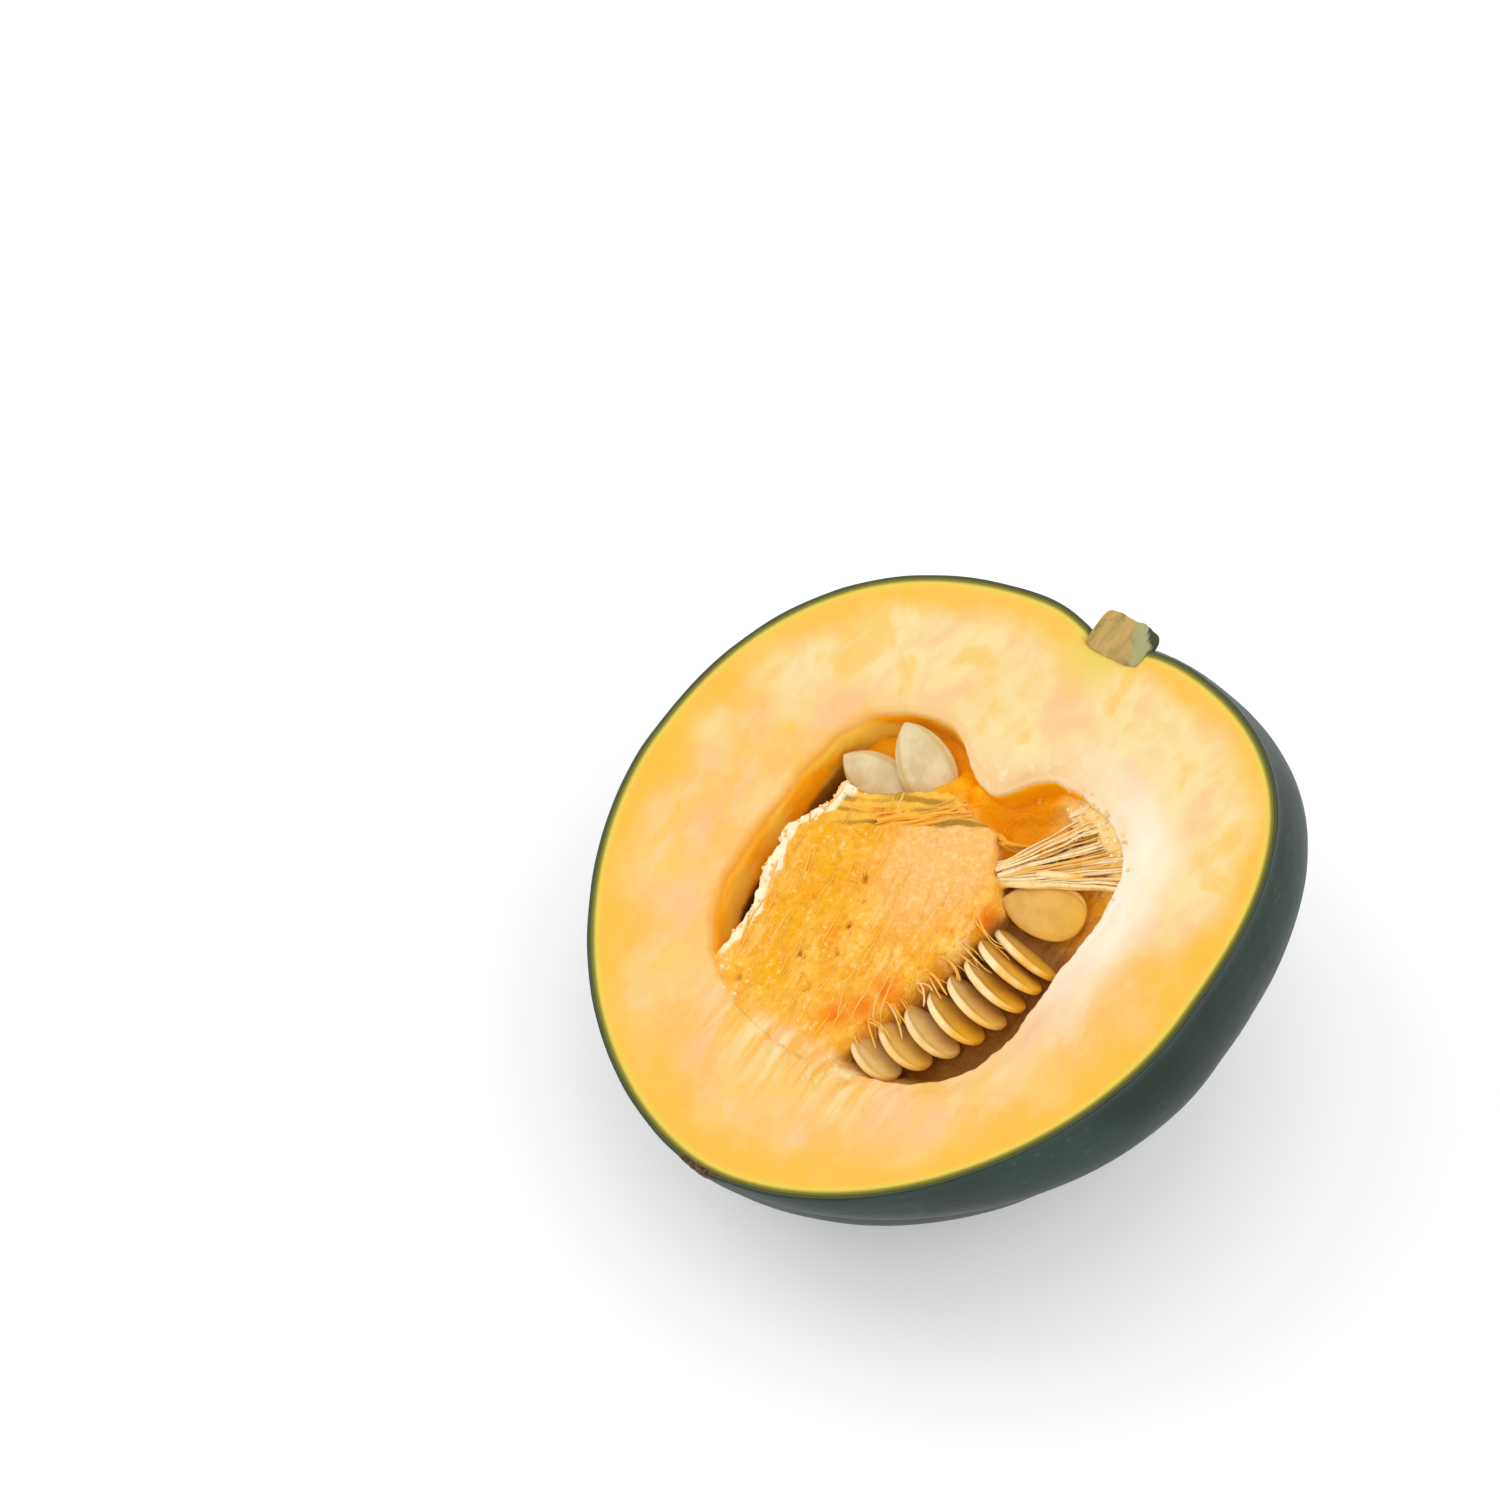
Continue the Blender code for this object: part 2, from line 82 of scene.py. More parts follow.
# The rind's cut edge, from the inside out: how far in from the skin, and its height
CUT_EDGE = ((RIND_SHOWN, -0.9 * MM), (RIND_SHOWN, -0.02 * MM), (0.36 * MM, 0.0), (0.08 * MM, -0.1 * MM))

# The seed cavity
CAVITY_CENTRE = np.array((-4.0, -3.1, 0.0)) * MM
CAVITY_HALF_LENGTH = 34.8 * MM
CAVITY_HALF_WIDTH = 35.7 * MM
CAVITY_DEPTH = 34.0 * MM
CAVITY_SQUARENESS = 3.2
CAVITY_STEM_SQUARENESS = 0.7
CAVITY_BOWL = 2.4
RIDGE_HEIGHT = 8.5 * MM
RIDGE_RIGHT_ANGLE = 0.16
RIDGE_LEFT_ANGLE = 0.32
RIDGE_LEFT_BLUNTNESS = 4.0

# The cavity's worn edge: its least size in mm, then how much more of it there is round some bearings
ROW_SIDE = -94.0
TIP_SIDE_BEARING = 180.0
LEFT_BEARING = 105.0
BEVEL_WIDTHS = (1.6, ((8.6, ROW_SIDE, 50.0), (3.0, 0.0, 28.0), (2.5, TIP_SIDE_BEARING, 30.0)))
BEVEL_DROPS = (0.9, ((3.4, ROW_SIDE, 50.0), (0.9, 0.0, 22.0)))
BEVEL_REACH_IN = 4.6 * MM
BEVEL_REACH_IN_SPREAD = 44.0

# The cavity's wall, and the waves and grit on it as swells a metre
WALL_FOOT_TILT = 0.46 * math.pi
WALL_SLOPE = 2.4 * MM
WALL_SLOPE_SPREAD = 52.0
WALL_SLOPE_DEPTH = 9.0 * MM
WALL_WAVES = (260.0, 260.0, 90.0)
WALL_GRIT = (700.0, 700.0, 260.0)
DEEP_IN_FLESH = 25.0
FAR_FROM_LIP = 30.0

# The cut through the flesh, which lies a little under the rind's edge, in mm of its relief
CUT_SINK = 0.12
RIND_LAP = 0.05 * MM
CRUMBLY_BEARING = -4.0
CRUMBLY_SPREAD = 26.0
CRUMBLY_REACH = 8.0 * MM
FLESH_CRUMB_BEARING = -38.0
FLESH_CRUMB_SPREAD = 12.0
FLESH_BEHIND_RIND = 0.25 * MM

# The flesh's zones of colour: the bearing and spread of each
FLESH_ZONES = {
    "worn": (-92.0, 52.0), "cream": (-62.0, 44.0), "tip": (TIP_SIDE_BEARING, 30.0),
    "ridge": (CRUMBLY_BEARING, CRUMBLY_SPREAD), "left": (LEFT_BEARING, 62.0), "recess": (-14.0, 15.0),
}

# The pulp: a lump of fibre on a bed, a bank and a shelf by the wall, and a fringe over the tip's edge
LUMP_START = 20.0 * MM
LUMP_WIDEST = -2.0 * MM
LUMP_HALF_WIDTH = 22.5 * MM
LUMP_TIP_SHARE = 0.62
LUMP_START_ACROSS = -2.6 * MM
LUMP_SLANT = 0.28
LUMP_SLANT_FROM = 7.0 * MM
LUMP_CORNER_SLANT = 1.1
LUMP_CORNER_ACROSS = -8.8 * MM
LUMP_SHIFT = 8.5 * MM
LEFT_CORNER = np.array((11.0, 24.6)) * MM
LUMP_TOP = 0.8 * MM
LUMP_SHOULDER = 4.0 * MM
LUMP_LEFT_STEEPNESS = 2.2 * MM
BED_DEPTH = 8.0 * MM
HOLLOW_CENTRE = np.array((20.5, -9.0)) * MM
HOLLOW_SPREAD = np.array((7.0, 10.0)) * MM
HOLLOW_DEPTH = 3.5 * MM
SLOT_ACROSS = 28.5 * MM
SLOT_SPREAD = 4.0 * MM
SLOT_DEPTH = 7.5 * MM
SLOT_RUN_OUT = 8.0 * MM
BRIDGE_DEPTH = 2.4 * MM
TERRACE_EDGE = 10.1 * MM
TERRACE_HEADING = math.radians(26.4)
TERRACE_DROP = 1.4
WEAVE_HEADING = math.radians(-63.6)
BANK_ANGLE = math.radians(-90.0)
BANK_SPREAD = math.radians(50.0)
BANK_WIDTH = 5.0 * MM
BANK_SHOULDER = 2.5 * MM
BANK_DEPTH = 4.2 * MM
SHELF_BEARING = -36.0
SHELF_SPREAD = 17.0
SHELF_WIDTH = 7.0 * MM
SHELF_SHOULDER = 3.0 * MM
SHELF_RAGGEDNESS = 3.2 * MM
SHELF_DEPTH = 2.2 * MM
FRINGE_REACH = 7.0 * MM
FRINGE_BEARING = 184.0
FRINGE_SPREAD = 34.0
FRINGE_OVERLAP = 1.2 * MM
PULP_UNDERSIDE = ((0.97, -18.0 * MM), (0.4, -30.0 * MM), (0.1, -31.0 * MM))
DOME_CENTRE = np.array((6.0, -3.0)) * MM
DOME_SPREAD = np.array((15.0, 11.0)) * MM
LIP_INSIDE = 1.6 * MM
LIP_SPREAD = 1.8 * MM
HOLE_DEPTH = 3.0 * MM
CRUMB_SWELLS = ((1.0, 330.0, 7.0), (0.8, 700.0, 9.0), (0.5, 1300.0, 2.0))

# Where zones of the pulp begin and are full, along the core (X) or across it (Y)
LEFT_CORNER_FROM_Y = 5.0 * MM
LIP_BY_STEM_X = np.array((12.0, 4.0)) * MM
LIP_BY_TIP_X = np.array((-35.0, -26.0)) * MM
LIP_CORNER_X = np.array((14.0, 10.0)) * MM
LIP_CORNER_Y = np.array((19.0, 22.0)) * MM
RECESS_X = np.array((10.0, 16.0)) * MM
TAN_X = np.array((14.0, 18.0)) * MM
TAN_Y = np.array((-11.0, -16.0)) * MM
# Where the painted shade under the row of seeds begins and is full
SEED_GAP_SHADE_X = np.array((7.0, 2.0)) * MM
SEED_GAP_SHADE_Y = np.array((-14.0, -18.0)) * MM
BANK_FLESHY = np.array((7.0, 4.0)) * MM

# Marks and humps on the pulp: how far each spreads, then their places in mm
CRUMB_MARKS = (3.0 * MM, ((-36.0, 17.0), (-33.0, 20.0)))
HOLE_MARKS = (2.0 * MM, ((18.8, -15.8), (20.8, -18.0), (23.0, -20.2)))
KNOB_MARKS = (2.0 * MM, ((0.5, -17.6),))
EMBER_MARKS = (2.8 * MM, ((-26.0, -7.5), (-21.5, -9.5), (-30.0, -4.0)))
PIT_MARKS = (1.2 * MM, (
    (-4.6, 8.5), (-23.0, 9.5), (-28.0, 5.0), (-14.0, 5.6), (-33.0, 17.5), (-20.0, 3.0)))
YELLOW_MARKS = (5.2 * MM, (
    (-6.0, 15.0), (-18.5, 15.6), (6.0, 14.0), (-29.0, 12.0), (-12.0, 12.0), (12.0, 9.0), (0.0, 20.0)))
BRIDGE_MARKS = (4.2 * MM, ((20.5, 4.0), (17.5, 6.0), (21.5, 0.0)))

# The seeds
SEED_LENGTH = 16.0 * MM
SEED_WIDTH = 10.4 * MM
SEED_THICKNESS = 2.5 * MM
SEED_TAPER = 0.26
SEED_BENDS = (0.06, math.pi - 0.05)
SEED_BEAD = 0.83
SEED_BEAD_SPREAD = 0.09
ROW_COUNT = 8
ROW_START = np.array((-0.5, -24.8)) * MM
ROW_STEP = 4.5 * MM
ROW_CURVE = 0.33 * MM
ROW_SEED_DEPTH = 5.0 * MM
ROW_FIRST_SUNK = 2.5 * MM
ROW_HEADING = 77.0
ROW_HEADING_STEP = -1.2
ROW_LEAN = 66.0
ROW_LEAN_STEP = -3.5
ROW_PITCH = -4.0
ROW_SIZE = 1.04
ROW_SIZE_STEP = -0.03

# How pale each seed is, where it isn't tan
SEED_PALENESS = {
    "seed_by_wall": 1.0, "seed_upright": 1.0, "seed_flat": 0.1,
    "seed_row_4": 0.2, "seed_row_6": 0.35, "seed_row_7": 0.15, "seed_row_8": 0.4,
}

# Groups of strands: bundles that start along a line of roots and end along a line of ends, in mm
STRAND_GROUPS = (
    {  # The fan from the lump's corner to the wall
        "roots": ((9.8, -12.4, -1.6), (7.5, -14.4, -2.4)),
        "ends": ((35.0, -26.5, -2.8), (20.5, -37.5, -4.0)),
        "bundles": 7, "members": 7, "paleness": (0.15, 1.0), "thickness": 0.85},
    {  # Pale strands on the ragged shelf
        "roots": ((26.0, -18.0, -3.4), (22.5, -21.5, -3.2)),
        "ends": ((36.5, -21.5, -1.2), (32.5, -30.0, -1.5)),
        "bundles": 5, "members": 4, "paleness": (0.5, 1.0), "thickness": 0.75},
    {  # Golden strands over the terrace
        "roots": ((4.5, 12.5, -1.2), (8.5, 15.0, -1.9)),
        "ends": ((15.0, -2.5, -1.4), (19.5, 2.0, -2.6)),
        "bundles": 6, "members": 3, "paleness": (0.0, 0.35), "thickness": 0.9},
    {  # A few that hang into the recess
        "roots": ((15.3, -9.3, -1.6), (14.5, -10.0, -2.0)),
        "ends": ((18.0, -18.5, -6.5), (16.5, -18.5, -6.5)),
        "bundles": 2, "members": 2, "paleness": (0.0, 0.1), "thickness": 1.0},
    {  # Threads from the lump to the row of seeds
        "roots": ((-1.0, -16.5, -1.6), (-31.0, -8.5, -1.4)),
        "ends": ((-2.5, -22.5, -3.4), (-33.0, -14.0, -3.0)),
        "bundles": 10, "members": 3, "paleness": (0.0, 0.6), "thickness": 0.55},
)
STRAND_RADIUS = 0.34 * MM
FIRST_STRAND_WIDENING = 1.7
BUNDLE_ROOT_SPREAD = 1.0 * MM
BUNDLE_END_SPREAD = 1.6 * MM
STRAND_ROOT_SPREAD = 1.1 * MM
STRAND_FAN = np.array((4.2, 4.2, 1.4)) * MM
STRAND_DIP = 1.3 * MM
STRAND_BOW = 1.4 * MM
STRAND_WAVER = 0.5 * MM
STRAND_WAVES = 210.0
STRAND_POINTS = 14
STRAND_SIDES = 6
STRAND_LUCK = 7

# Short fibres on the lump; their field's start and span, and their lengths, are in mm
FIBRE_COUNT = 120
FIBRE_START = np.array((-40.0, -18.0))
FIBRE_SPAN = np.array((58.0, 46.0))
FIBRE_HEADING = math.radians(11.0)
FIBRE_TURN = 0.5
FIBRE_RADIUS = 0.2 * MM
FIBRE_LENGTH = 4.0
FIBRE_LENGTH_MORE = 8.0
FIBRE_BEND = 0.8 * MM
FIBRE_PALENESS = 0.4
FIBRE_INSIDE = -1.0 * MM
FIBRE_LUCK = 11

# Crumbs: how many a square metre on each ground, the seed of each, and their sizes
CRUMB_GROUNDS = {"pulp_crumbs": (7e5, 4), "flesh_crumbs": (2.4e5, 9)}
SMALL_CRUMB = 0.16 * MM
LARGE_CRUMB = 0.5 * MM

# The stem stub
STEM_RADIUS = 6.6 * MM
STEM_BASE = 56.0 * MM
STEM_TOP = 65.0 * MM
STEM_ACROSS = -6.6 * MM
# The heading of the stem's right side, which turns green and darkens there with painted shade
STEM_GREEN_AND_SHADE_HEADING = math.radians(-63.6)
STEM_MIDDLE = 33.0 * MM
STEM_MARGIN = 0.5 * MM
RIND_UNDER_STEM = 1.5 * MM
FLESH_UNDER_STEM = 1.2 * MM
STALK_FOOT = np.array((58.0, -6.6, 0.0)) * MM
STALK_FOOT_SPREAD = 9.0 * MM
STALK_GLOW = np.array((54.5, -4.5, 0.0)) * MM
STALK_GLOW_SPREAD = 6.0 * MM
STEM_FLUTES = 5
STEM_FLUTE_DEPTH = 0.14
STEM_BENDS = (0.08, math.pi - 0.08)

# How finely the pieces are made
AROUND = 480
SKIN_ROWS = 120
SKIN_SHARES = (0.0035, 0.985)
INNER_SKIN_ROWS = 16
INNER_SKIN_SHARES = (0.97, 0.06)
FACE_ROWS = 56
WALL_ROWS = 26
HIDDEN_FLESH_ROWS = 14
HIDDEN_FLESH_SHARES = (0.02, 0.97)
PULP_ROWS = 112
PULP_FIRST_SHARE = 0.008
FRINGE_ROWS = 16
SEED_AROUND = 56
SEED_ROWS = 44
STEM_AROUND = 120
STEM_ROWS = 40

# The camera, as the photograph was taken
CAMERA_PLACE = (-0.40903, -0.26216, 0.85629)
CAMERA_BACK = (-0.4387, -0.3223, 0.8389)
CAMERA_LENS = 120.0
CAMERA_SENSOR = 36.0

# The stage: each light's place, size and power, in metres and watts
LIGHTS = {"key": ((-0.25, 1.0, 1.25), 0.8, 3.4), "fill": ((-0.1, -1.2, 1.0), 1.4, 2.4)}
LIGHT_AIM = (0.0, 0.0, 0.05)
SKY_STRENGTH = 1.04
FLOOR_REACH = 3.0
FLOOR_GLOW = 0.07


# Helpers for shapes

def bell(distance, spread):
    """A smooth hump, 1 in the middle."""
    return np.exp(-(distance / spread) ** 2)


def ease(value):
    """0 to 1 with flat ends."""
    value = np.clip(value, 0.0, 1.0)
    return value * value * (3.0 - 2.0 * value)


def ramp(value, start, end):
    """0 at one value to 1 at another, with flat ends."""
    return ease((value - start) / (end - start))


def swell(points, per_metre, shift=0.0):
    """Smooth noise from -1 to 1, with so many swells a metre along each axis."""
    spots = np.asarray(points) * per_metre + shift
    return np.array([noise.noise(Vector(spot)) for spot in spots])


def flat(x, y):
    """Places in the cut."""
    return np.column_stack([x, y, np.zeros(len(x))])


def patches(x, y, marks):
    """The strongest of some humps, from how far they spread and their places in millimetres."""
    spread, places = marks
    return np.max([bell(np.hypot(x - px * MM, y - py * MM), spread) for px, py in places], axis=0)


def lay(points):
    """From the fruit's frame to the frame of the solids."""
    return np.asarray(points) @ np.array(LAY_TURN.to_matrix()).T + CORE_PLACE


def near_angle(angle, middle, spread):
    """A hump round one bearing; its middle and spread are in degrees."""
    away = (np.degrees(angle) - middle + 180.0) % 360.0 - 180.0
    return bell(away, spread)


def loft(name, rings, notes):
    """A closed mesh through rings of points, with a number for each point in each note."""
    count = len(rings[0])
    points = np.vstack(list(rings) + [rings[0].mean(axis=0), rings[-1].mean(axis=0)])
    faces = []
    for row in range(len(rings) - 1):
        base = row * count
        for step in range(count):
            after = (step + 1) % count
            faces.append((base + step, base + after, base + count + after, base + count + step))
    start = len(rings) * count
    base = start - count
    faces.extend((start, (step + 1) % count, step) for step in range(count))
    faces.extend((start + 1, base + step, base + (step + 1) % count) for step in range(count))
    mesh = bpy.data.meshes.new(name)
    mesh.from_pydata(lay(points).tolist(), [], faces)
    bm = bmesh.new()
    bm.from_mesh(mesh)
    bmesh.ops.recalc_face_normals(bm, faces=bm.faces[:])
    bm.to_mesh(mesh)
    bm.free()
    mesh.shade_smooth()
    for key, values in notes.items():
        layer = mesh.attributes.new(key, 'FLOAT', 'POINT')
        numbers = np.concatenate([np.broadcast_to(value, count) for value in values])
        ends = [np.mean(values[0]), np.mean(values[-1])]
        layer.data.foreach_set("value", np.concatenate([numbers, ends]).astype(np.float32))
    piece = bpy.data.objects.new(name, mesh)
    bpy.context.scene.collection.objects.link(piece)
    return piece


# The skin's shape

def rib_shape(angle):
    """1 on a rib's crest and 0 in the valley beside it; the ribs crowd to one side."""
    turn = angle - FIRST_CREST
    turn = turn - RIB_CROWDING * (1.0 - np.cos(turn))
    wave = np.cos(0.5 * RIB_COUNT * turn)
    high = math.sqrt(1.0 + RIB_VALLEY_ROUND ** 2)
    return (np.sqrt(wave ** 2 + RIB_VALLEY_ROUND ** 2) - RIB_VALLEY_ROUND) / (high - RIB_VALLEY_ROUND)


def skin_points(directions):
    """The skin's places for unit directions whose Z is the core."""
    sideways, under, along = directions.T
    around = np.hypot(sideways, under)
    angle = np.arctan2(sideways, -under)
    by_stem = along > 0.0
    side = np.where(by_stem, STEM_SIDE, TIP_SIDE)
    power = 2.0 / np.where(by_stem, STEM_FULLNESS, TIP_FULLNESS)
    x = side * np.sign(along) * np.abs(along) ** power
    radius = BELLY_RADIUS * around ** power
    radius = radius * (1.0 - RIB_DEPTH * np.sqrt(around) * (1.0 - rib_shape(angle)))
    radius = radius + UNEVENNESS * around * swell(directions, UNEVEN_SWELLS)
    x = x - np.where(by_stem, DIMPLE_DEPTH * bell(radius, DIMPLE_RADIUS), 0.0)
    bow = STEM_BOW * (np.maximum(x, 0.0) / STEM_SIDE) ** BOW_POWER
    shoulder = bell(np.arctan2(around, along) - SHOULDER_POLAR, SHOULDER_POLAR_SPREAD)
    x = x + SHOULDER_RISE * shoulder * bell(angle - SHOULDER_ANGLE, SHOULDER_ANGLE_SPREAD)
    drop = math.tan(CUT_TILT) * x
    return np.column_stack([x, bow + radius * np.sin(angle), -radius * np.cos(angle) - drop])


def sweep(azimuths, tilts):
    """Unit directions round the cut from the stem, then down by a tilt."""
    return np.column_stack([
        np.cos(tilts) * np.sin(azimuths),
        -np.sin(tilts),
        np.cos(tilts) * np.cos(azimuths)])


def rim_tilts(azimuths):
    """The tilts at which the skin meets the cut."""
    low = np.full(len(azimuths), -RIM_SEARCH_TILT)
    high = -low
    for _ in range(RIM_SEARCH_STEPS):
        middle = 0.5 * (low + high)
        above = skin_points(sweep(azimuths, middle))[:, 2] > 0.0
        low = np.where(above, middle, low)
        high = np.where(above, high, middle)
    return high


def move_in(outline, distance):
    """A closed flat outline moved in by a distance."""
    run = np.roll(outline, -1, axis=0) - np.roll(outline, 1, axis=0)
    length = np.linalg.norm(run, axis=1)
    normal = np.column_stack([-run[:, 1], run[:, 0], 0.0 * length]) / length[:, None]
    return outline + distance * normal


def at_height(outline, height):
    """A flat outline set at a height."""
    return np.column_stack([outline[:, :2], np.broadcast_to(height, len(outline))])


AZIMUTHS = np.linspace(0.0, 2.0 * math.pi, AROUND, endpoint=False)
RIM_TILTS = rim_tilts(AZIMUTHS)
RIM = at_height(skin_points(sweep(AZIMUTHS, RIM_TILTS)), 0.0)
BEARINGS = np.arctan2(RIM[:, 1] - CAVITY_CENTRE[1], RIM[:, 0] - CAVITY_CENTRE[0])


def skin_row(share, thickness=0.0):
    """One ring of the skin, from the rim at 0 to the middle of the underside at 1."""
    tilts = RIM_TILTS + (0.5 * math.pi - RIM_TILTS) * share
    ring = skin_points(sweep(AZIMUTHS, tilts))
    reach = np.linalg.norm(ring, axis=1, keepdims=True)
    return ring * (1.0 - thickness / reach)


def sink_under_stem(points, depth):
    """Lowers what would otherwise lie across the stem's cut."""
    under = np.abs(points[:, 1] - STEM_ACROSS) < STEM_RADIUS - STEM_MARGIN
    under &= (points[:, 0] > STEM_BASE + STEM_MARGIN) & (points[:, 0] < STEM_TOP)
    points[:, 2] = np.where(under, np.minimum(points[:, 2], -depth), points[:, 2])
    return points


def make_rind():
    """The thin skin, with the scar of the blossom at its tip."""
    rings = []
    notes = {"scar": [], "stalk": [], "cut": []}
    inner = [skin_row(share, RIND_SHOWN) for share in np.linspace(*INNER_SKIN_SHARES, INNER_SKIN_ROWS)]
    edge = [at_height(move_in(RIM, inwards), height) for inwards, height in CUT_EDGE]
    outer = [skin_row(share) for share in np.linspace(*SKIN_SHARES, SKIN_ROWS)]
    first_shown = len(inner) + 2
    for number, ring in enumerate(inner + edge + outer):
        away = np.linalg.norm(ring - SCAR_PLACE, axis=1)
        scar = bell(away, SCAR_RADIUS * (1.0 + SCAR_RAGGEDNESS * swell(ring, 420.0)))
        if number >= first_shown:
            lift = SCAR_LIFT * scar * (1.0 + swell(ring, 900.0))
            lift = lift + SKIN_RIPPLE * swell(ring, 130.0) * (1.0 - scar)
            reach = np.linalg.norm(ring, axis=1, keepdims=True)
            ring = ring + ring / reach * lift[:, None]
            ring[:, 2] = np.minimum(ring[:, 2], 0.0)
        rings.append(sink_under_stem(ring, RIND_UNDER_STEM))
        notes["scar"].append(scar)
        notes["cut"].append(1.0 if len(inner) <= number < len(inner) + len(edge) - 1 else 0.0)
        notes["stalk"].append(bell(np.linalg.norm(ring - STALK_FOOT, axis=1), STALK_FOOT_SPREAD))
    piece = loft("rind_skin", rings, notes)
    for vert in piece.data.vertices:
        vert.co.z = max(vert.co.z, 0.0)
    return piece


# The flesh and its cavity

def cavity_reach(bearing):
    """The seed cavity's reach from its centre, in the cut."""
    power = CAVITY_SQUARENESS + CAVITY_STEM_SQUARENESS * np.cos(bearing)
    along = np.abs(np.cos(bearing) / CAVITY_HALF_LENGTH) ** power
    across = np.abs(np.sin(bearing) / CAVITY_HALF_WIDTH) ** power
    reach = (along + across) ** (-1.0 / power)
    away = (bearing + math.pi) % (2.0 * math.pi) - math.pi
    left = np.exp(-np.abs(away / RIDGE_LEFT_ANGLE) ** RIDGE_LEFT_BLUNTNESS)
    return reach - RIDGE_HEIGHT * np.where(away > 0.0, left, bell(away, RIDGE_RIGHT_ANGLE))


def from_centre(bearing, reach, height=0.0):
    """Places at a reach from the cavity's centre."""
    return CAVITY_CENTRE + np.column_stack([
        reach * np.cos(bearing),
        reach * np.sin(bearing),
        np.broadcast_to(height, len(bearing))])


def worn_edge(bearing, sizes):
    """A size of the cavity's worn edge at each bearing, from its table."""
    size, humps = sizes
    for more, middle, spread in humps:
        size = size + more * near_angle(bearing, middle, spread)
    return size * MM


def wall_rings():
    """The cavity's wall from its foot to its worn edge, with each ring's depth under that edge."""
    drop = worn_edge(BEARINGS, BEVEL_DROPS)
    sloping = WALL_SLOPE * near_angle(BEARINGS, LEFT_BEARING, WALL_SLOPE_SPREAD)
    reach_in = BEVEL_REACH_IN * near_angle(BEARINGS, ROW_SIDE, BEVEL_REACH_IN_SPREAD)
    for tilt in np.linspace(WALL_FOOT_TILT, 0.0, WALL_ROWS):
        share = math.cos(tilt) ** (2.0 / CAVITY_BOWL)
        height = -drop - (CAVITY_DEPTH - drop) * math.sin(tilt) ** (2.0 / CAVITY_BOWL)
        edge_reach = cavity_reach(BEARINGS) - reach_in - sloping * ease(-height / WALL_SLOPE_DEPTH)
        ring = from_centre(BEARINGS, share * edge_reach, height)
        rough = 0.45 * swell(ring, WALL_WAVES) + 0.25 * swell(ring, WALL_GRIT, 3.0)
        yield from_centre(BEARINGS, share * edge_reach + rough * MM, height), (height + drop) / MM


def cut_rings(edge, start):
    """The cut from the cavity's edge to the rind, with each ring's way from both."""
    drop = worn_edge(BEARINGS, BEVEL_DROPS)
    width = worn_edge(BEARINGS, BEVEL_WIDTHS)
    by_ridge = near_angle(BEARINGS, CRUMBLY_BEARING, CRUMBLY_SPREAD)
    for share in np.linspace(0.0, 1.0, FACE_ROWS)[1:]:
        ring = edge + (start - edge) * share
        from_edge = np.linalg.norm((ring - edge)[:, :2], axis=1)
        from_rim = np.linalg.norm((ring - start)[:, :2], axis=1)
        slope = (1.0 - ease(from_edge / width)) ** 1.5
        crumbly = by_ridge * bell(from_edge, CRUMBLY_REACH)
        rough = 0.10 * swell(ring, 70.0) + 0.04 * swell(ring, 420.0)
        rough = rough + crumbly * (0.28 * swell(ring, 300.0, 5.0) + 0.08 * swell(ring, 800.0))
        rough = rough * ease(from_rim / (2.0 * MM))
        ring = at_height(ring, -drop * slope + (rough - CUT_SINK) * MM * ease(from_rim / (1.5 * MM)))
        yield sink_under_stem(ring, FLESH_UNDER_STEM), from_edge, from_rim


def make_flesh():
    """The flesh from the foot of its cavity, up the wall and over the cut to the rind."""
    rings = []
    rims = []
    lips = []
    stalks = {}
    for ring, lip in wall_rings():
        rings.append(ring)
        rims.append(np.full(AROUND, DEEP_IN_FLESH))
        lips.append(lip)
    start = at_height(move_in(RIM, RIND_SHOWN - RIND_LAP), 0.0)
    for ring, from_edge, from_rim in cut_rings(rings[-1], start):
        rings.append(ring)
        rims.append(from_rim / MM)
        lips.append(from_edge / MM)
        away = np.linalg.norm((ring - STALK_GLOW)[:, :2], axis=1)
        stalks[len(rings) - 1] = bell(away, STALK_GLOW_SPREAD)
    for share in np.linspace(*HIDDEN_FLESH_SHARES, HIDDEN_FLESH_ROWS):
        rings.append(skin_row(share, RIND_SHOWN + FLESH_BEHIND_RIND))
        rims.append(np.zeros(AROUND))
        lips.append(np.full(AROUND, FAR_FROM_LIP))
    rows = len(rings)
    by_shelf = near_angle(BEARINGS, FLESH_CRUMB_BEARING, FLESH_CRUMB_SPREAD)
    notes = {
        "rim": rims,
        "lip": lips,
        "stalk": [stalks.get(row, 0.0) for row in range(rows)],
        "crumbly": [by_shelf * bell(lip - 0.2, 1.3) for lip in lips],
    }
    for key, (middle, spread) in FLESH_ZONES.items():
        notes[key] = [near_angle(BEARINGS, middle, spread)] * rows
    return loft("flesh_body", rings, notes)


# The pulp

def lump_half_width(x):
    """Half the fibre lump's width at a station."""
    growth = np.clip((LUMP_START - x) / (LUMP_START - LUMP_WIDEST), 0.0, 1.0)
    width = LUMP_HALF_WIDTH * (1.0 - (1.0 - growth) ** 2.2) ** 0.6
    fade = np.maximum(0.0, (LUMP_WIDEST - x) / (CAVITY_HALF_LENGTH + LUMP_WIDEST))
    return width * (1.0 - (1.0 - LUMP_TIP_SHARE) * fade ** 1.3)


def lump_middle(x):
    """The fibre lump's centre line."""
    growth = (LUMP_START - x) / (LUMP_START - LUMP_WIDEST)
    return LUMP_START_ACROSS + LUMP_SHIFT * ease(growth)


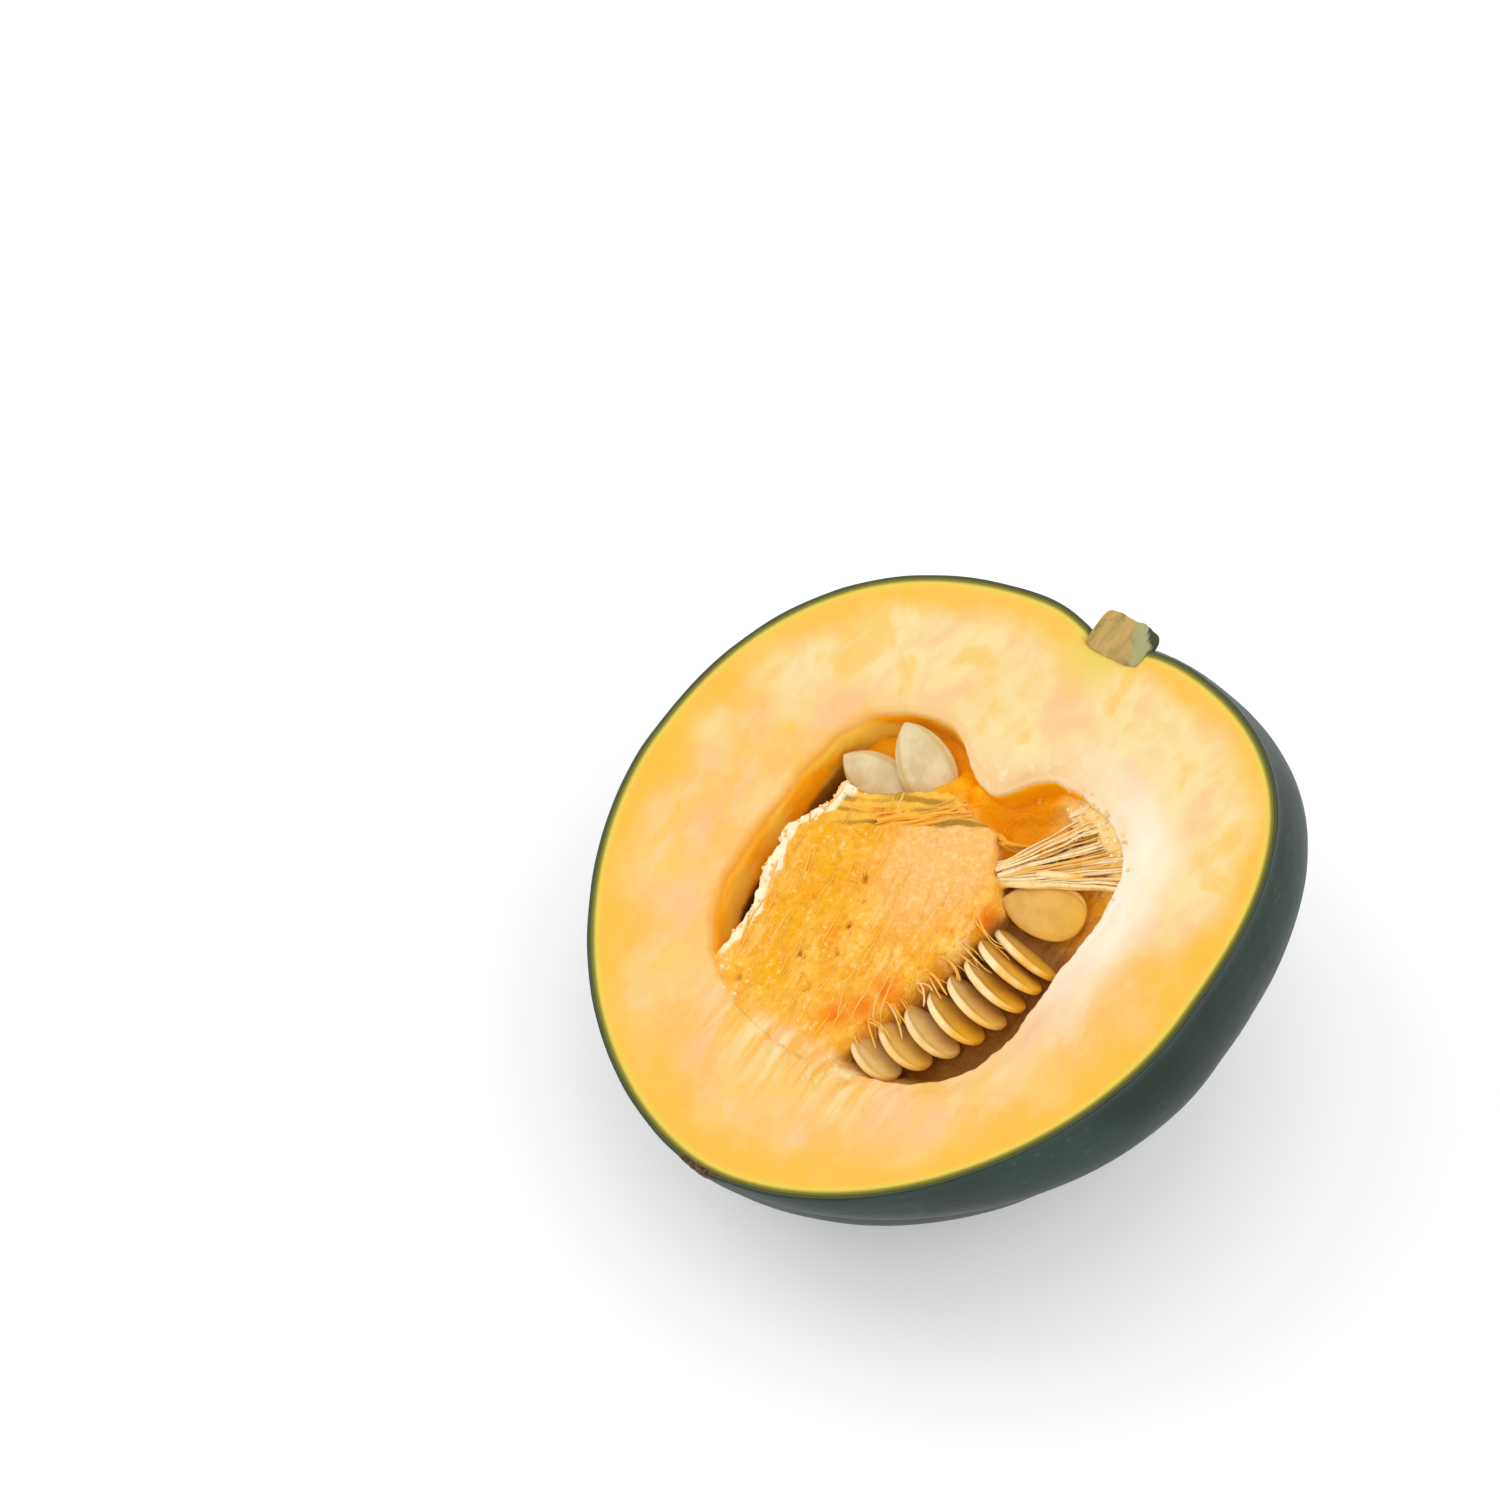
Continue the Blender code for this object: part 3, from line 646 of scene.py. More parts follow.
def past_lump(x, y):
    """How far a place is outside the lump's edge, less than 0 inside."""
    start = LUMP_START - LUMP_SLANT * np.maximum(0.0, LUMP_SLANT_FROM - y)
    start = start - LUMP_CORNER_SLANT * np.maximum(0.0, LUMP_CORNER_ACROSS - y)
    past = np.maximum(np.abs(y - lump_middle(x)) - lump_half_width(x), x - start)
    corner = np.maximum(x - LEFT_CORNER[0], y - LEFT_CORNER[1])
    return np.where(y > LEFT_CORNER_FROM_Y, np.minimum(past, corner), past)


def bed_depth(x, y):
    """How far the bed of the pulp lies under the cut."""
    hollow = bell(x - HOLLOW_CENTRE[0], HOLLOW_SPREAD[0]) * bell(y - HOLLOW_CENTRE[1], HOLLOW_SPREAD[1])
    slot = bell(y - SLOT_ACROSS, SLOT_SPREAD) * ease((LUMP_START - x) / SLOT_RUN_OUT)
    return BED_DEPTH + HOLLOW_DEPTH * hollow + SLOT_DEPTH * slot


def edge_shelves(x, y):
    """The bank beside the row of seeds, and the ragged shelf where the strands end."""
    angle = np.arctan2(y - CAVITY_CENTRE[1], x - CAVITY_CENTRE[0])
    from_edge = cavity_reach(angle) - np.hypot(x - CAVITY_CENTRE[0], y - CAVITY_CENTRE[1])
    from_edge = from_edge + 0.8 * MM * swell(flat(x, y), 260.0, 21.0)
    bank = bell(angle - BANK_ANGLE, BANK_SPREAD) * ease((BANK_WIDTH - from_edge) / BANK_SHOULDER)
    ragged = SHELF_RAGGEDNESS * swell(flat(x, y), 170.0, 30.0)
    shelf = ease((SHELF_WIDTH - from_edge + ragged) / SHELF_SHOULDER)
    return bank, shelf * near_angle(angle, SHELF_BEARING, SHELF_SPREAD), from_edge


def fibre_field(x, y, heading=FIBRE_HEADING):
    """Long narrow swells along the fibres, from -1 to 1."""
    along = x * math.cos(heading) + y * math.sin(heading)
    across = y * math.cos(heading) - x * math.sin(heading)
    bent = across + 1.2 * MM * swell(flat(x, y), 80.0, 3.0)
    return swell(flat(along, bent), (90.0, 620.0, 1.0), 4.0)


def pulp_depth(x, y, on_lump, bank, shelf):
    """How far the pulp's main forms lie under the cut."""
    depth = bed_depth(x, y) * (1.0 - on_lump) + LUMP_TOP * on_lump
    depth = depth + (BANK_DEPTH - depth) * bank
    depth = depth + (SHELF_DEPTH - depth) * shelf
    return np.minimum(depth, depth + (BRIDGE_DEPTH - depth) * patches(x, y, BRIDGE_MARKS))


def pulp_lip(x, y, past, left):
    """The pale ragged lip along the lump's left edge."""
    reach = np.maximum(ramp(x, *LIP_BY_STEM_X), ramp(x, *LIP_CORNER_X) * ramp(y, *LIP_CORNER_Y))
    lip = bell(past + LIP_INSIDE, LIP_SPREAD) * left * reach * ramp(x, *LIP_BY_TIP_X)
    return lip * (0.75 + 0.5 * swell(flat(x, y), 240.0, 14.0))


def pulp_terrace(x, y):
    """The step below the two pale seeds, and the weave of its fibres."""
    above = x * math.cos(TERRACE_HEADING) + y * math.sin(TERRACE_HEADING) - TERRACE_EDGE
    above = above + 0.7 * MM * swell(flat(x, y), 240.0, 17.0)
    return ease(above / (2.0 * MM)), fibre_field(x, y, WEAVE_HEADING)


def pulp_surface(x, y):
    """The pulp's height, and what shows at each place of it."""
    spots = flat(x, y)
    past = past_lump(x, y) + 1.1 * MM * swell(spots, 190.0) + 0.5 * MM * swell(spots, 520.0, 6.0)
    left = ease((y - lump_middle(x)) / (0.5 * lump_half_width(x) + 1.0 * MM))
    on_lump = 1.0 - ease(past / (LUMP_SHOULDER - LUMP_LEFT_STEEPNESS * left) + 0.3)
    bank, shelf, from_edge = edge_shelves(x, y)
    hole = ease(1.1 * patches(x, y, HOLE_MARKS) + 0.35 * swell(spots, 420.0, 23.0))
    depth = pulp_depth(x, y, on_lump, bank, shelf) + HOLE_DEPTH * hole
    lip = pulp_lip(x, y, past, left)
    terrace, weave = pulp_terrace(x, y)
    terrace = terrace * on_lump
    dome = bell(x - DOME_CENTRE[0], DOME_SPREAD[0]) * bell(y - DOME_CENTRE[1], DOME_SPREAD[1]) * on_lump
    knob = patches(x, y, KNOB_MARKS)
    pit = patches(x, y, PIT_MARKS) * ease(0.6 + 1.4 * swell(spots, 620.0, 11.0)) * on_lump
    crumb = sum(size * swell(spots, per_metre, shift) for size, per_metre, shift in CRUMB_SWELLS)
    rise = 0.5 * fibre_field(x, y) * (1.0 - 0.7 * dome) + 0.4 * crumb
    rise = rise + 1.1 * lip + 1.0 * dome + 1.2 * knob - 1.6 * pit
    rise = rise - (TERRACE_DROP - 0.6 * weave + dome) * terrace
    by_tip = bell(x + 40.0 * MM, 9.0 * MM)
    height = -depth + rise * MM * (1.0 - 0.6 * by_tip) * (0.5 + 0.5 * on_lump)
    slot_shade = bell(y - SLOT_ACROSS, 3.2 * MM) * ease((LUMP_START - x) / SLOT_RUN_OUT)
    notes = {
        "lip": lip,
        "dome": dome,
        "bed": 1.0 - on_lump,
        "pit": pit,
        "yellow": patches(x, y, YELLOW_MARKS) * on_lump,
        "terrace": terrace,
        "weave": weave,
        "ember": np.maximum(knob, patches(x, y, EMBER_MARKS)),
        "hollow": ramp(x, *RECESS_X),
        "tan": ramp(y, *TAN_Y) * ramp(x, *TAN_X),
        # The pulp dips here, and its dark colour is painted shadow of the fan of strands
        "hole": hole,
        # Painted shade at the foot of the slot beside the lump
        "slot": slot_shade * (1.0 - on_lump),
        "shelf": np.maximum(shelf, bank * ramp(from_edge, *BANK_FLESHY)),
        "crumbly": np.clip(0.7 * lip + 0.3 * patches(x, y, CRUMB_MARKS) + 0.7 * shelf, 0.0, 1.0),
        # Painted shade under and between the row of seeds
        "seed_gap_shade": ramp(y, *SEED_GAP_SHADE_Y) * ramp(x, *SEED_GAP_SHADE_X) * (1.0 - bank),
    }
    return height, notes


def make_pulp():
    """The fibre lump and its bed, out to the cavity's wall and in fingers over the tip end's edge."""
    rings = []
    rows = []
    reach = cavity_reach(BEARINGS)
    drop = worn_edge(BEARINGS, BEVEL_DROPS)
    width = worn_edge(BEARINGS, BEVEL_WIDTHS)
    by_tip = near_angle(BEARINGS, FRINGE_BEARING, FRINGE_SPREAD)
    for share in np.linspace(PULP_FIRST_SHARE, 1.0, PULP_ROWS):
        ring = from_centre(BEARINGS, (reach + FRINGE_OVERLAP) * share)
        height, notes = pulp_surface(ring[:, 0], ring[:, 1])
        near_edge = ease((share - 0.8) / 0.2) * by_tip
        height = height * (1.0 - near_edge) - 0.35 * drop * near_edge
        notes["fringe"] = near_edge
        rings.append(at_height(ring, height))
        rows.append(notes)
    for beyond in np.linspace(0.0, 1.0, FRINGE_ROWS)[1:]:
        from_edge = FRINGE_OVERLAP + FRINGE_REACH * by_tip * beyond
        ring = from_centre(BEARINGS, reach + from_edge)
        x, y = ring[:, 0], ring[:, 1]
        finger = ease(0.5 + 1.1 * fibre_field(x, y))
        slope = (1.0 - ease(from_edge / width)) ** 1.5
        lift = 0.5 * MM * (finger - beyond) * by_tip - 1.8 * MM * (1.0 - by_tip)
        rings.append(at_height(ring, -drop * slope - 0.12 * MM + lift))
        notes = pulp_surface(x, y)[1]
        notes["fringe"] = by_tip
        rows.append(notes)
    for share, height in PULP_UNDERSIDE:
        rings.append(from_centre(BEARINGS, reach * share, height))
        rows.append({key: np.zeros(AROUND) for key in rows[0]})
    return loft("pulp_mass", rings, {key: [row[key] for row in rows] for key in rows[0]})


# Strands and crumbs

def make_paths(name, paths):
    """Loose paths as one mesh, each point with its thickness and paleness."""
    points = np.vstack([path for path, _, _ in paths])
    edges = []
    first = 0
    for path, _, _ in paths:
        edges.extend((first + step, first + step + 1) for step in range(len(path) - 1))
        first += len(path)
    mesh = bpy.data.meshes.new(name)
    mesh.from_pydata(lay(points).tolist(), edges, [])
    for key, column in (("thick", 1), ("pale", 2)):
        layer = mesh.attributes.new(key, 'FLOAT', 'POINT')
        numbers = np.concatenate([path[column] for path in paths])
        layer.data.foreach_set("value", numbers.astype(np.float32))
    return mesh


def make_strand(near, far, dip, bow, thick, bundle):
    """One strand that dips, bows and wavers, and its thickness at each point."""
    along = np.linspace(0.0, 1.0, STRAND_POINTS)
    sag = np.sin(math.pi * along)
    path = near + (far - near) * along[:, None]
    path[:, 2] -= dip * STRAND_DIP * sag
    path[:, 0] += STRAND_BOW * bow * sag + STRAND_WAVER * swell(path, STRAND_WAVES, bundle)
    path[:, 1] += STRAND_WAVER * swell(path, STRAND_WAVES, bundle + 40.0)
    thick = thick * (1.25 - 0.4 * sag) * (1.0 + 0.5 * swell(path, 500.0, bundle + 9.0))
    thick = thick * (1.0 - 0.7 * along ** 5)
    path[:, 2] -= 0.5 * thick
    return path, thick


def strand_paths():
    """The bundles of strands; the order of the random draws is part of the look."""
    paths = []
    luck = np.random.default_rng(STRAND_LUCK)
    for group in STRAND_GROUPS:
        roots, ends = np.array(group["roots"]) * MM, np.array(group["ends"]) * MM
        dull, pale = group["paleness"]
        for bundle in range(group["bundles"]):
            share = np.clip((bundle + 0.7 * (luck.random() - 0.5)) / (group["bundles"] - 1), 0.0, 1.0)
            root = roots[0] + (roots[1] - roots[0]) * share + (luck.random(3) - 0.5) * BUNDLE_ROOT_SPREAD
            end = ends[0] + (ends[1] - ends[0]) * share + (luck.random(3) - 0.5) * BUNDLE_END_SPREAD
            dip, bow = luck.random(2)
            for member in range(group["members"]):
                chance = luck.random(9)
                near = root + (chance[0:3] - 0.5) * STRAND_ROOT_SPREAD
                far = end + (chance[3:6] - 0.5) * STRAND_FAN
                thick = group["thickness"] * STRAND_RADIUS * (0.5 + 1.2 * chance[6] ** 2)
                thick = thick * (FIRST_STRAND_WIDENING if member == 0 else 1.0)
                path, thick = make_strand(near, far, dip, bow + chance[8] - 1.0, thick, bundle)
                paths.append((path, thick, np.full(STRAND_POINTS, dull + (pale - dull) * chance[7])))
    return paths


def fibre_paths():
    """Short fibres that lie along the lump's top."""
    paths = []
    luck = np.random.default_rng(FIBRE_LUCK)
    while len(paths) < FIBRE_COUNT:
        x, y, length, turn, pale, thick = luck.random(6)
        x = (FIBRE_START[0] + FIBRE_SPAN[0] * x) * MM
        y = (FIBRE_START[1] + FIBRE_SPAN[1] * y) * MM
        on_dome = x > 0.0 and y < 8.0 * MM
        if on_dome or past_lump(np.array([x]), np.array([y]))[0] > FIBRE_INSIDE:
            continue
        heading = FIBRE_HEADING + FIBRE_TURN * (turn - 0.5)
        along = np.linspace(-0.5, 0.5, STRAND_POINTS) * (FIBRE_LENGTH + FIBRE_LENGTH_MORE * length) * MM
        bend = FIBRE_BEND * swell(flat(x + along, y + 0.0 * along), 130.0, turn * 9.0)
        px = x + along * math.cos(heading) - bend * math.sin(heading)
        py = y + along * math.sin(heading) + bend * math.cos(heading)
        height = pulp_surface(px, py)[0]
        ends = np.sqrt(np.clip(1.0 - (np.abs(along) / along[-1]) ** 2, 0.02, 1.0))
        radius = FIBRE_RADIUS * (0.5 + 0.9 * thick) * ends
        pale = np.full(STRAND_POINTS, FIBRE_PALENESS * pale)
        paths.append((np.column_stack([px, py, height - 0.1 * radius]), radius, pale))
    return paths


class Nodes:
    """A node tree, put together one node at a time."""

    def __init__(self, tree):
        self.tree = tree

    def add(self, kind, sockets=None, **settings):
        """A node, with its settings and what goes into its sockets."""
        node = self.tree.nodes.new(kind)
        for key, value in settings.items():
            setattr(node, key, value)
        for key, value in (sockets or {}).items():
            self.feed(node.inputs[key], value)
        return node

    def feed(self, socket, value):
        """A link or a plain value for a socket."""
        if isinstance(value, bpy.types.NodeSocket):
            self.tree.links.new(value, socket)
        else:
            socket.default_value = value


class Growth(Nodes):
    """A geometry tree with named inputs."""

    def __init__(self, name, inputs):
        super().__init__(bpy.data.node_groups.new(name, 'GeometryNodeTree'))
        face = self.tree.interface
        face.new_socket("Geometry", in_out='INPUT', socket_type='NodeSocketGeometry')
        for key, kind in inputs:
            face.new_socket(key, in_out='INPUT', socket_type=kind)
        face.new_socket("Geometry", in_out='OUTPUT', socket_type='NodeSocketGeometry')
        self.given = self.add('NodeGroupInput').outputs

    def number(self, name):
        """A number kept on the mesh."""
        return self.add('GeometryNodeInputNamedAttribute', {"Name": name}).outputs["Attribute"]

    def end(self, geometry, material):
        """Real geometry with its material, smooth."""
        real = self.add('GeometryNodeRealizeInstances', {"Geometry": geometry}).outputs["Geometry"]
        smooth = self.add('GeometryNodeSetShadeSmooth', {"Geometry": real}).outputs["Geometry"]
        dressed = self.add('GeometryNodeSetMaterial', {"Geometry": smooth, "Material": material})
        self.add('NodeGroupOutput', {"Geometry": dressed.outputs["Geometry"]})
        return self.tree


def strand_growth(material):
    """A round strand along every path, as thick as each point says."""
    growth = Growth("strands", (("Sides", 'NodeSocketInt'),))
    curve = growth.add('GeometryNodeMeshToCurve', {"Mesh": growth.given["Geometry"]}).outputs["Curve"]
    circle = growth.add('GeometryNodeCurvePrimitiveCircle', {
        "Resolution": growth.given["Sides"], "Radius": 1.0}).outputs["Curve"]
    tube = growth.add('GeometryNodeCurveToMesh', {
        "Curve": curve, "Profile Curve": circle, "Scale": growth.number("thick"), "Fill Caps": True})
    return growth.end(tube.outputs["Mesh"], material)


def crumb_growth(material):
    """Crumbs scattered where a number on the mesh is high."""
    growth = Growth("crumbs", (
        ("Density", 'NodeSocketFloat'), ("Seed", 'NodeSocketInt'),
        ("Small", 'NodeSocketFloat'), ("Large", 'NodeSocketFloat')))
    share = growth.number("crumbly")
    density = growth.add('ShaderNodeMath', {0: share, 1: growth.given["Density"]}, operation='MULTIPLY')
    points = growth.add('GeometryNodeDistributePointsOnFaces', {
        "Mesh": growth.given["Geometry"], "Density": density.outputs[0], "Seed": growth.given["Seed"]})
    ball = growth.add('GeometryNodeMeshIcoSphere', {"Radius": 1.0, "Subdivisions": 2}).outputs["Mesh"]
    lumpy = growth.add('ShaderNodeTexNoise', {"Scale": 1.3, "Detail": 2.0}).outputs["Color"]
    away = growth.add('ShaderNodeVectorMath', {0: lumpy, 1: (0.5, 0.5, 0.5)}, operation='SUBTRACT')
    bit = growth.add('GeometryNodeSetPosition', {"Geometry": ball, "Offset": away.outputs[0]})
    any_way = {"Max": (6.28, 6.28, 6.28), "Seed": 3}
    turn = growth.add('FunctionNodeRandomValue', any_way, data_type='FLOAT_VECTOR')
    size = growth.add('FunctionNodeRandomValue', data_type='FLOAT')
    for socket, name in ((2, "Small"), (3, "Large"), ("Seed", "Seed")):
        growth.feed(size.inputs[socket], growth.given[name])
    placed = growth.add('GeometryNodeInstanceOnPoints', {
        "Points": points.outputs["Points"], "Instance": bit.outputs["Geometry"],
        "Rotation": turn.outputs[0], "Scale": size.outputs[1]})
    return growth.end(placed.outputs["Instances"], material)


def grow(name, source, tree, **values):
    """The mesh that a tree makes of a source mesh, as a piece of its own."""
    holder = bpy.data.objects.new(name + "_source", source)
    bpy.context.scene.collection.objects.link(holder)
    modifier = holder.modifiers.new("growth", 'NODES')
    modifier.node_group = tree
    for item in tree.interface.items_tree:
        if item.in_out == 'INPUT' and item.name in values:
            modifier[item.identifier] = values[item.name]
    graph = bpy.context.evaluated_depsgraph_get()
    mesh = bpy.data.meshes.new_from_object(holder.evaluated_get(graph))
    mesh.name = name
    bpy.data.objects.remove(holder)
    piece = bpy.data.objects.new(name, mesh)
    bpy.context.scene.collection.objects.link(piece)
    return piece


# The seeds

def seed_specs():
    """Each seed's name, place, pointed end's heading, pitch and lean in degrees, and size."""
    specs = [
        ("seed_by_wall", np.array((15.4, 22.0, -6.6)) * MM, 86.0, 12.0, -14.0, 0.94),
        ("seed_upright", np.array((22.0, 14.2, -4.2)) * MM, 57.0, 25.0, -5.0, 1.03),
        ("seed_flat", np.array((7.9, -24.0, -5.2)) * MM, 106.0, 4.0, -6.0, 1.03),
        ("seed_under_strands", np.array((14.9, -20.8, -7.4)) * MM, 113.0, 0.0, 72.0, 0.98),
    ]
    for index in range(ROW_COUNT):
        place = np.array((
            ROW_START[0] - ROW_STEP * index,
            ROW_START[1] + ROW_CURVE * max(0, index - 1) ** 2,
            -ROW_SEED_DEPTH - (ROW_FIRST_SUNK if index == 0 else 0.0)))
        heading = ROW_HEADING + ROW_HEADING_STEP * index
        lean = ROW_LEAN + ROW_LEAN_STEP * index
        size = ROW_SIZE + ROW_SIZE_STEP * index
        specs.append((f"seed_row_{index + 1}", place, heading, ROW_PITCH, lean, size))
    return specs


def make_seed(name, place, heading, pitch, lean, size, paleness):
    """A flat drop-shaped seed with a bead along its edge."""
    turn = np.array(Euler((math.radians(lean), math.radians(-pitch), math.radians(heading))).to_matrix())
    angles = np.linspace(0.0, 2.0 * math.pi, SEED_AROUND, endpoint=False)
    across = np.cos(angles)
    up = np.sin(angles)
    bead = bell(np.abs(across) - SEED_BEAD, SEED_BEAD_SPREAD)
    thick = np.sign(up) * np.abs(up) ** 0.75 * (0.86 + 0.16 * bead)
    rings = []
    for bend in np.linspace(*SEED_BENDS, SEED_ROWS):
        along = math.cos(bend)
        wide = math.sin(bend) ** (0.92 + 0.5 * max(along, 0.0) ** 2) * (1.0 - SEED_TAPER * along)
        thin_end = 0.35 + 0.65 * math.sin(bend) ** 0.6
        shape = np.column_stack([
            np.full(SEED_AROUND, 0.5 * SEED_LENGTH * size * along),
            0.5 * SEED_WIDTH * size * wide * across,
            0.5 * SEED_THICKNESS * thin_end * thick])
        shape[:, 2] += 0.05 * MM * swell(shape, 500.0, place[0] * 900.0)
        rings.append(place + shape @ turn.T)
    notes = {
        "bead": [bead] * SEED_ROWS,
        "pale": [paleness] * SEED_ROWS,
        "foot": np.linspace(0.0, 1.0, SEED_ROWS),
        "upper": [np.clip(across * math.copysign(1.0, lean), 0.0, 1.0)] * SEED_ROWS,
    }
    return loft(name + "_shell", rings, notes)


# The stem

def make_stem():
    """The corky stub, fluted, with the cut running flat through it."""
    angles = np.linspace(0.0, 2.0 * math.pi, STEM_AROUND, endpoint=False)
    flute = 1.0 - STEM_FLUTE_DEPTH * (0.5 - 0.5 * np.cos(STEM_FLUTES * angles))
    half_length = 0.5 * (STEM_TOP - STEM_BASE)
    middle = 0.5 * (STEM_TOP + STEM_BASE)
    rings = []
    for bend in np.linspace(*STEM_BENDS, STEM_ROWS):
        along = math.cos(bend)
        radius = STEM_RADIUS * flute * math.sin(bend) ** 0.35
        ring = np.column_stack([
            np.full(STEM_AROUND, middle + half_length * math.copysign(abs(along) ** 0.45, along)),
            STEM_ACROSS + radius * np.sin(angles),
            -radius * np.cos(angles)])
        ring[:, 0] += 0.35 * MM * swell(ring, (60.0, 500.0, 500.0))
        ring[:, 1] += 0.3 * MM * swell(ring, (90.0, 700.0, 700.0), 4.0)
        ring[:, 2] = np.minimum(ring[:, 2], 0.05 * MM * swell(ring, 700.0) + 0.12 * MM)
        rings.append(ring)
    cut = [np.where(ring[:, 2] > -0.3 * MM, 1.0, 0.0) for ring in rings]
    # How far towards the stem's right side, for its green and its painted shade
    sideways = (math.cos(STEM_GREEN_AND_SHADE_HEADING), math.sin(STEM_GREEN_AND_SHADE_HEADING), 0.0)
    right = [(ring @ sideways - STEM_MIDDLE) / MM for ring in rings]
    return loft("stem_stub", rings, {"cut": cut, "right": right})


# Colours: the rind
RIND_DARK = (0.008, 0.019, 0.014)
RIND_GREEN = (0.018, 0.038, 0.028)
RIND_STREAK = (0.036, 0.058, 0.040)
RIND_FLECK = (0.075, 0.105, 0.07)
RIND_BY_STEM = (0.20, 0.20, 0.07)
RIND_CUT = (0.085, 0.085, 0.025)
SCAR_DARK = (0.035, 0.016, 0.008)
SCAR_BARK = (0.16, 0.09, 0.045)

# Colours: the cut flesh
PEACH_DEEP = (0.83, 0.47, 0.13)
PEACH = (0.86, 0.54, 0.18)
PEACH_BY_STEM = (0.87, 0.66, 0.32)
PEACH_MOTTLE = (0.86, 0.57, 0.25)
PINK_BLUSH = (0.88, 0.49, 0.25)
YELLOW_BLUSH = (0.84, 0.49, 0.07)
STREAK_ORANGE = (0.90, 0.40, 0.04)
STREAK_CREAM = (0.93, 0.69, 0.36)
RIM_YELLOW = (0.84, 0.47, 0.04)
RIM_LEMON = (0.76, 0.58, 0.09)
STALK_YELLOW = (0.74, 0.58, 0.10)
RIM_GREEN = (0.15, 0.15, 0.02)
EDGE_CREAM = (0.95, 0.82, 0.66)
EDGE_ORANGE = (0.86, 0.38, 0.03)
RIDGE_PEACH = (0.86, 0.58, 0.28)
RIDGE_GRIT = (0.93, 0.76, 0.50)

# Colours: the cavity's wall
WALL_ORANGE = (1.0, 0.40, 0.005)
WALL_YELLOW = (1.0, 0.60, 0.07)
WALL_BY_RECESS = (1.0, 0.44, 0.0)
# Painted shade: the wall's orange darkened deep in the cavity
WALL_DEEP_SHADE = (0.62, 0.22, 0.02)
WALL_SHADE = (0.11, 0.04, 0.006)

# Colours: the pulp
PULP_ORANGE = (0.90, 0.37, 0.01)
PULP_AMBER = (0.94, 0.49, 0.05)
PULP_FIBRE = (0.94, 0.60, 0.16)
PULP_YELLOW = (0.86, 0.41, 0.0)
DARK_SPECK = (0.70, 0.33, 0.01)
PALE_SPECK = (0.97, 0.70, 0.32)
DOME_PEACH = (0.92, 0.48, 0.13)
DOME_CRUMB = (0.94, 0.58, 0.23)
EMBER = (0.86, 0.20, 0.0)
BED_BROWN = (0.60, 0.22, 0.015)
BED_ORANGE = (0.88, 0.42, 0.05)
# Painted shade under and between the row of seeds
SEED_GAP_SHADE = (0.20, 0.065, 0.008)
# Painted shade at the foot of the slot beside the lump
SLOT_SHADE_BROWN = (0.16, 0.055, 0.008)
RECESS_ORANGE = (1.0, 0.41, 0.0)
BED_TAN = (1.0, 0.60, 0.13)
SHELF_CREAM = (0.94, 0.62, 0.25)
WEAVE_SHADE = (0.40, 0.22, 0.02)
WEAVE_GOLD = (0.93, 0.52, 0.06)
LIP_CREAM = (0.97, 0.84, 0.56)
PIT_BROWN = (0.50, 0.20, 0.0)
# Painted shadow of the fan of strands, in the dips under them
HOLE_SHADOW_BROWN = (0.24, 0.11, 0.012)

# Colours: strands and crumbs
STRAND_ORANGE = (0.92, 0.44, 0.04)
STRAND_CREAM = (0.94, 0.74, 0.42)
STRAND_WET = (0.86, 0.48, 0.08)
CRUMB_ORANGE = (0.90, 0.50, 0.12)
CRUMB_CREAM = (0.95, 0.76, 0.44)

# Colours: the seeds
SEED_TAN = (0.66, 0.34, 0.045)
SEED_TAN_LIGHT = (0.72, 0.40, 0.10)
SEED_FOOT = (0.78, 0.38, 0.01)
SEED_GROOVE = (0.40, 0.18, 0.015)
SEED_EDGE = (0.95, 0.76, 0.42)
SEED_EDGE_FOOT = (0.86, 0.46, 0.05)
PALE_SEED = (0.64, 0.50, 0.26)
PALE_SEED_LIGHT = (0.74, 0.62, 0.37)
PALE_SEED_EDGE = (0.58, 0.36, 0.08)

# Colours: the stem and the floor
CORK_GROOVE = (0.20, 0.15, 0.04)
CORK_BEIGE = (0.50, 0.31, 0.09)
CORK_CUT = (0.56, 0.36, 0.12)
CORK_OLIVE = (0.14, 0.16, 0.05)
STEM_GREEN = (0.34, 0.36, 0.17)
# Painted shade on the stem's right edge
STEM_RIGHT_SHADE = (0.03, 0.05, 0.02)
FLOOR_PALE = (0.96, 0.96, 0.96)
FLOOR_PALER = (0.98, 0.98, 0.98)

# Materials

SHADER_NAMES = {"specular_ior_level": "Specular IOR Level"}


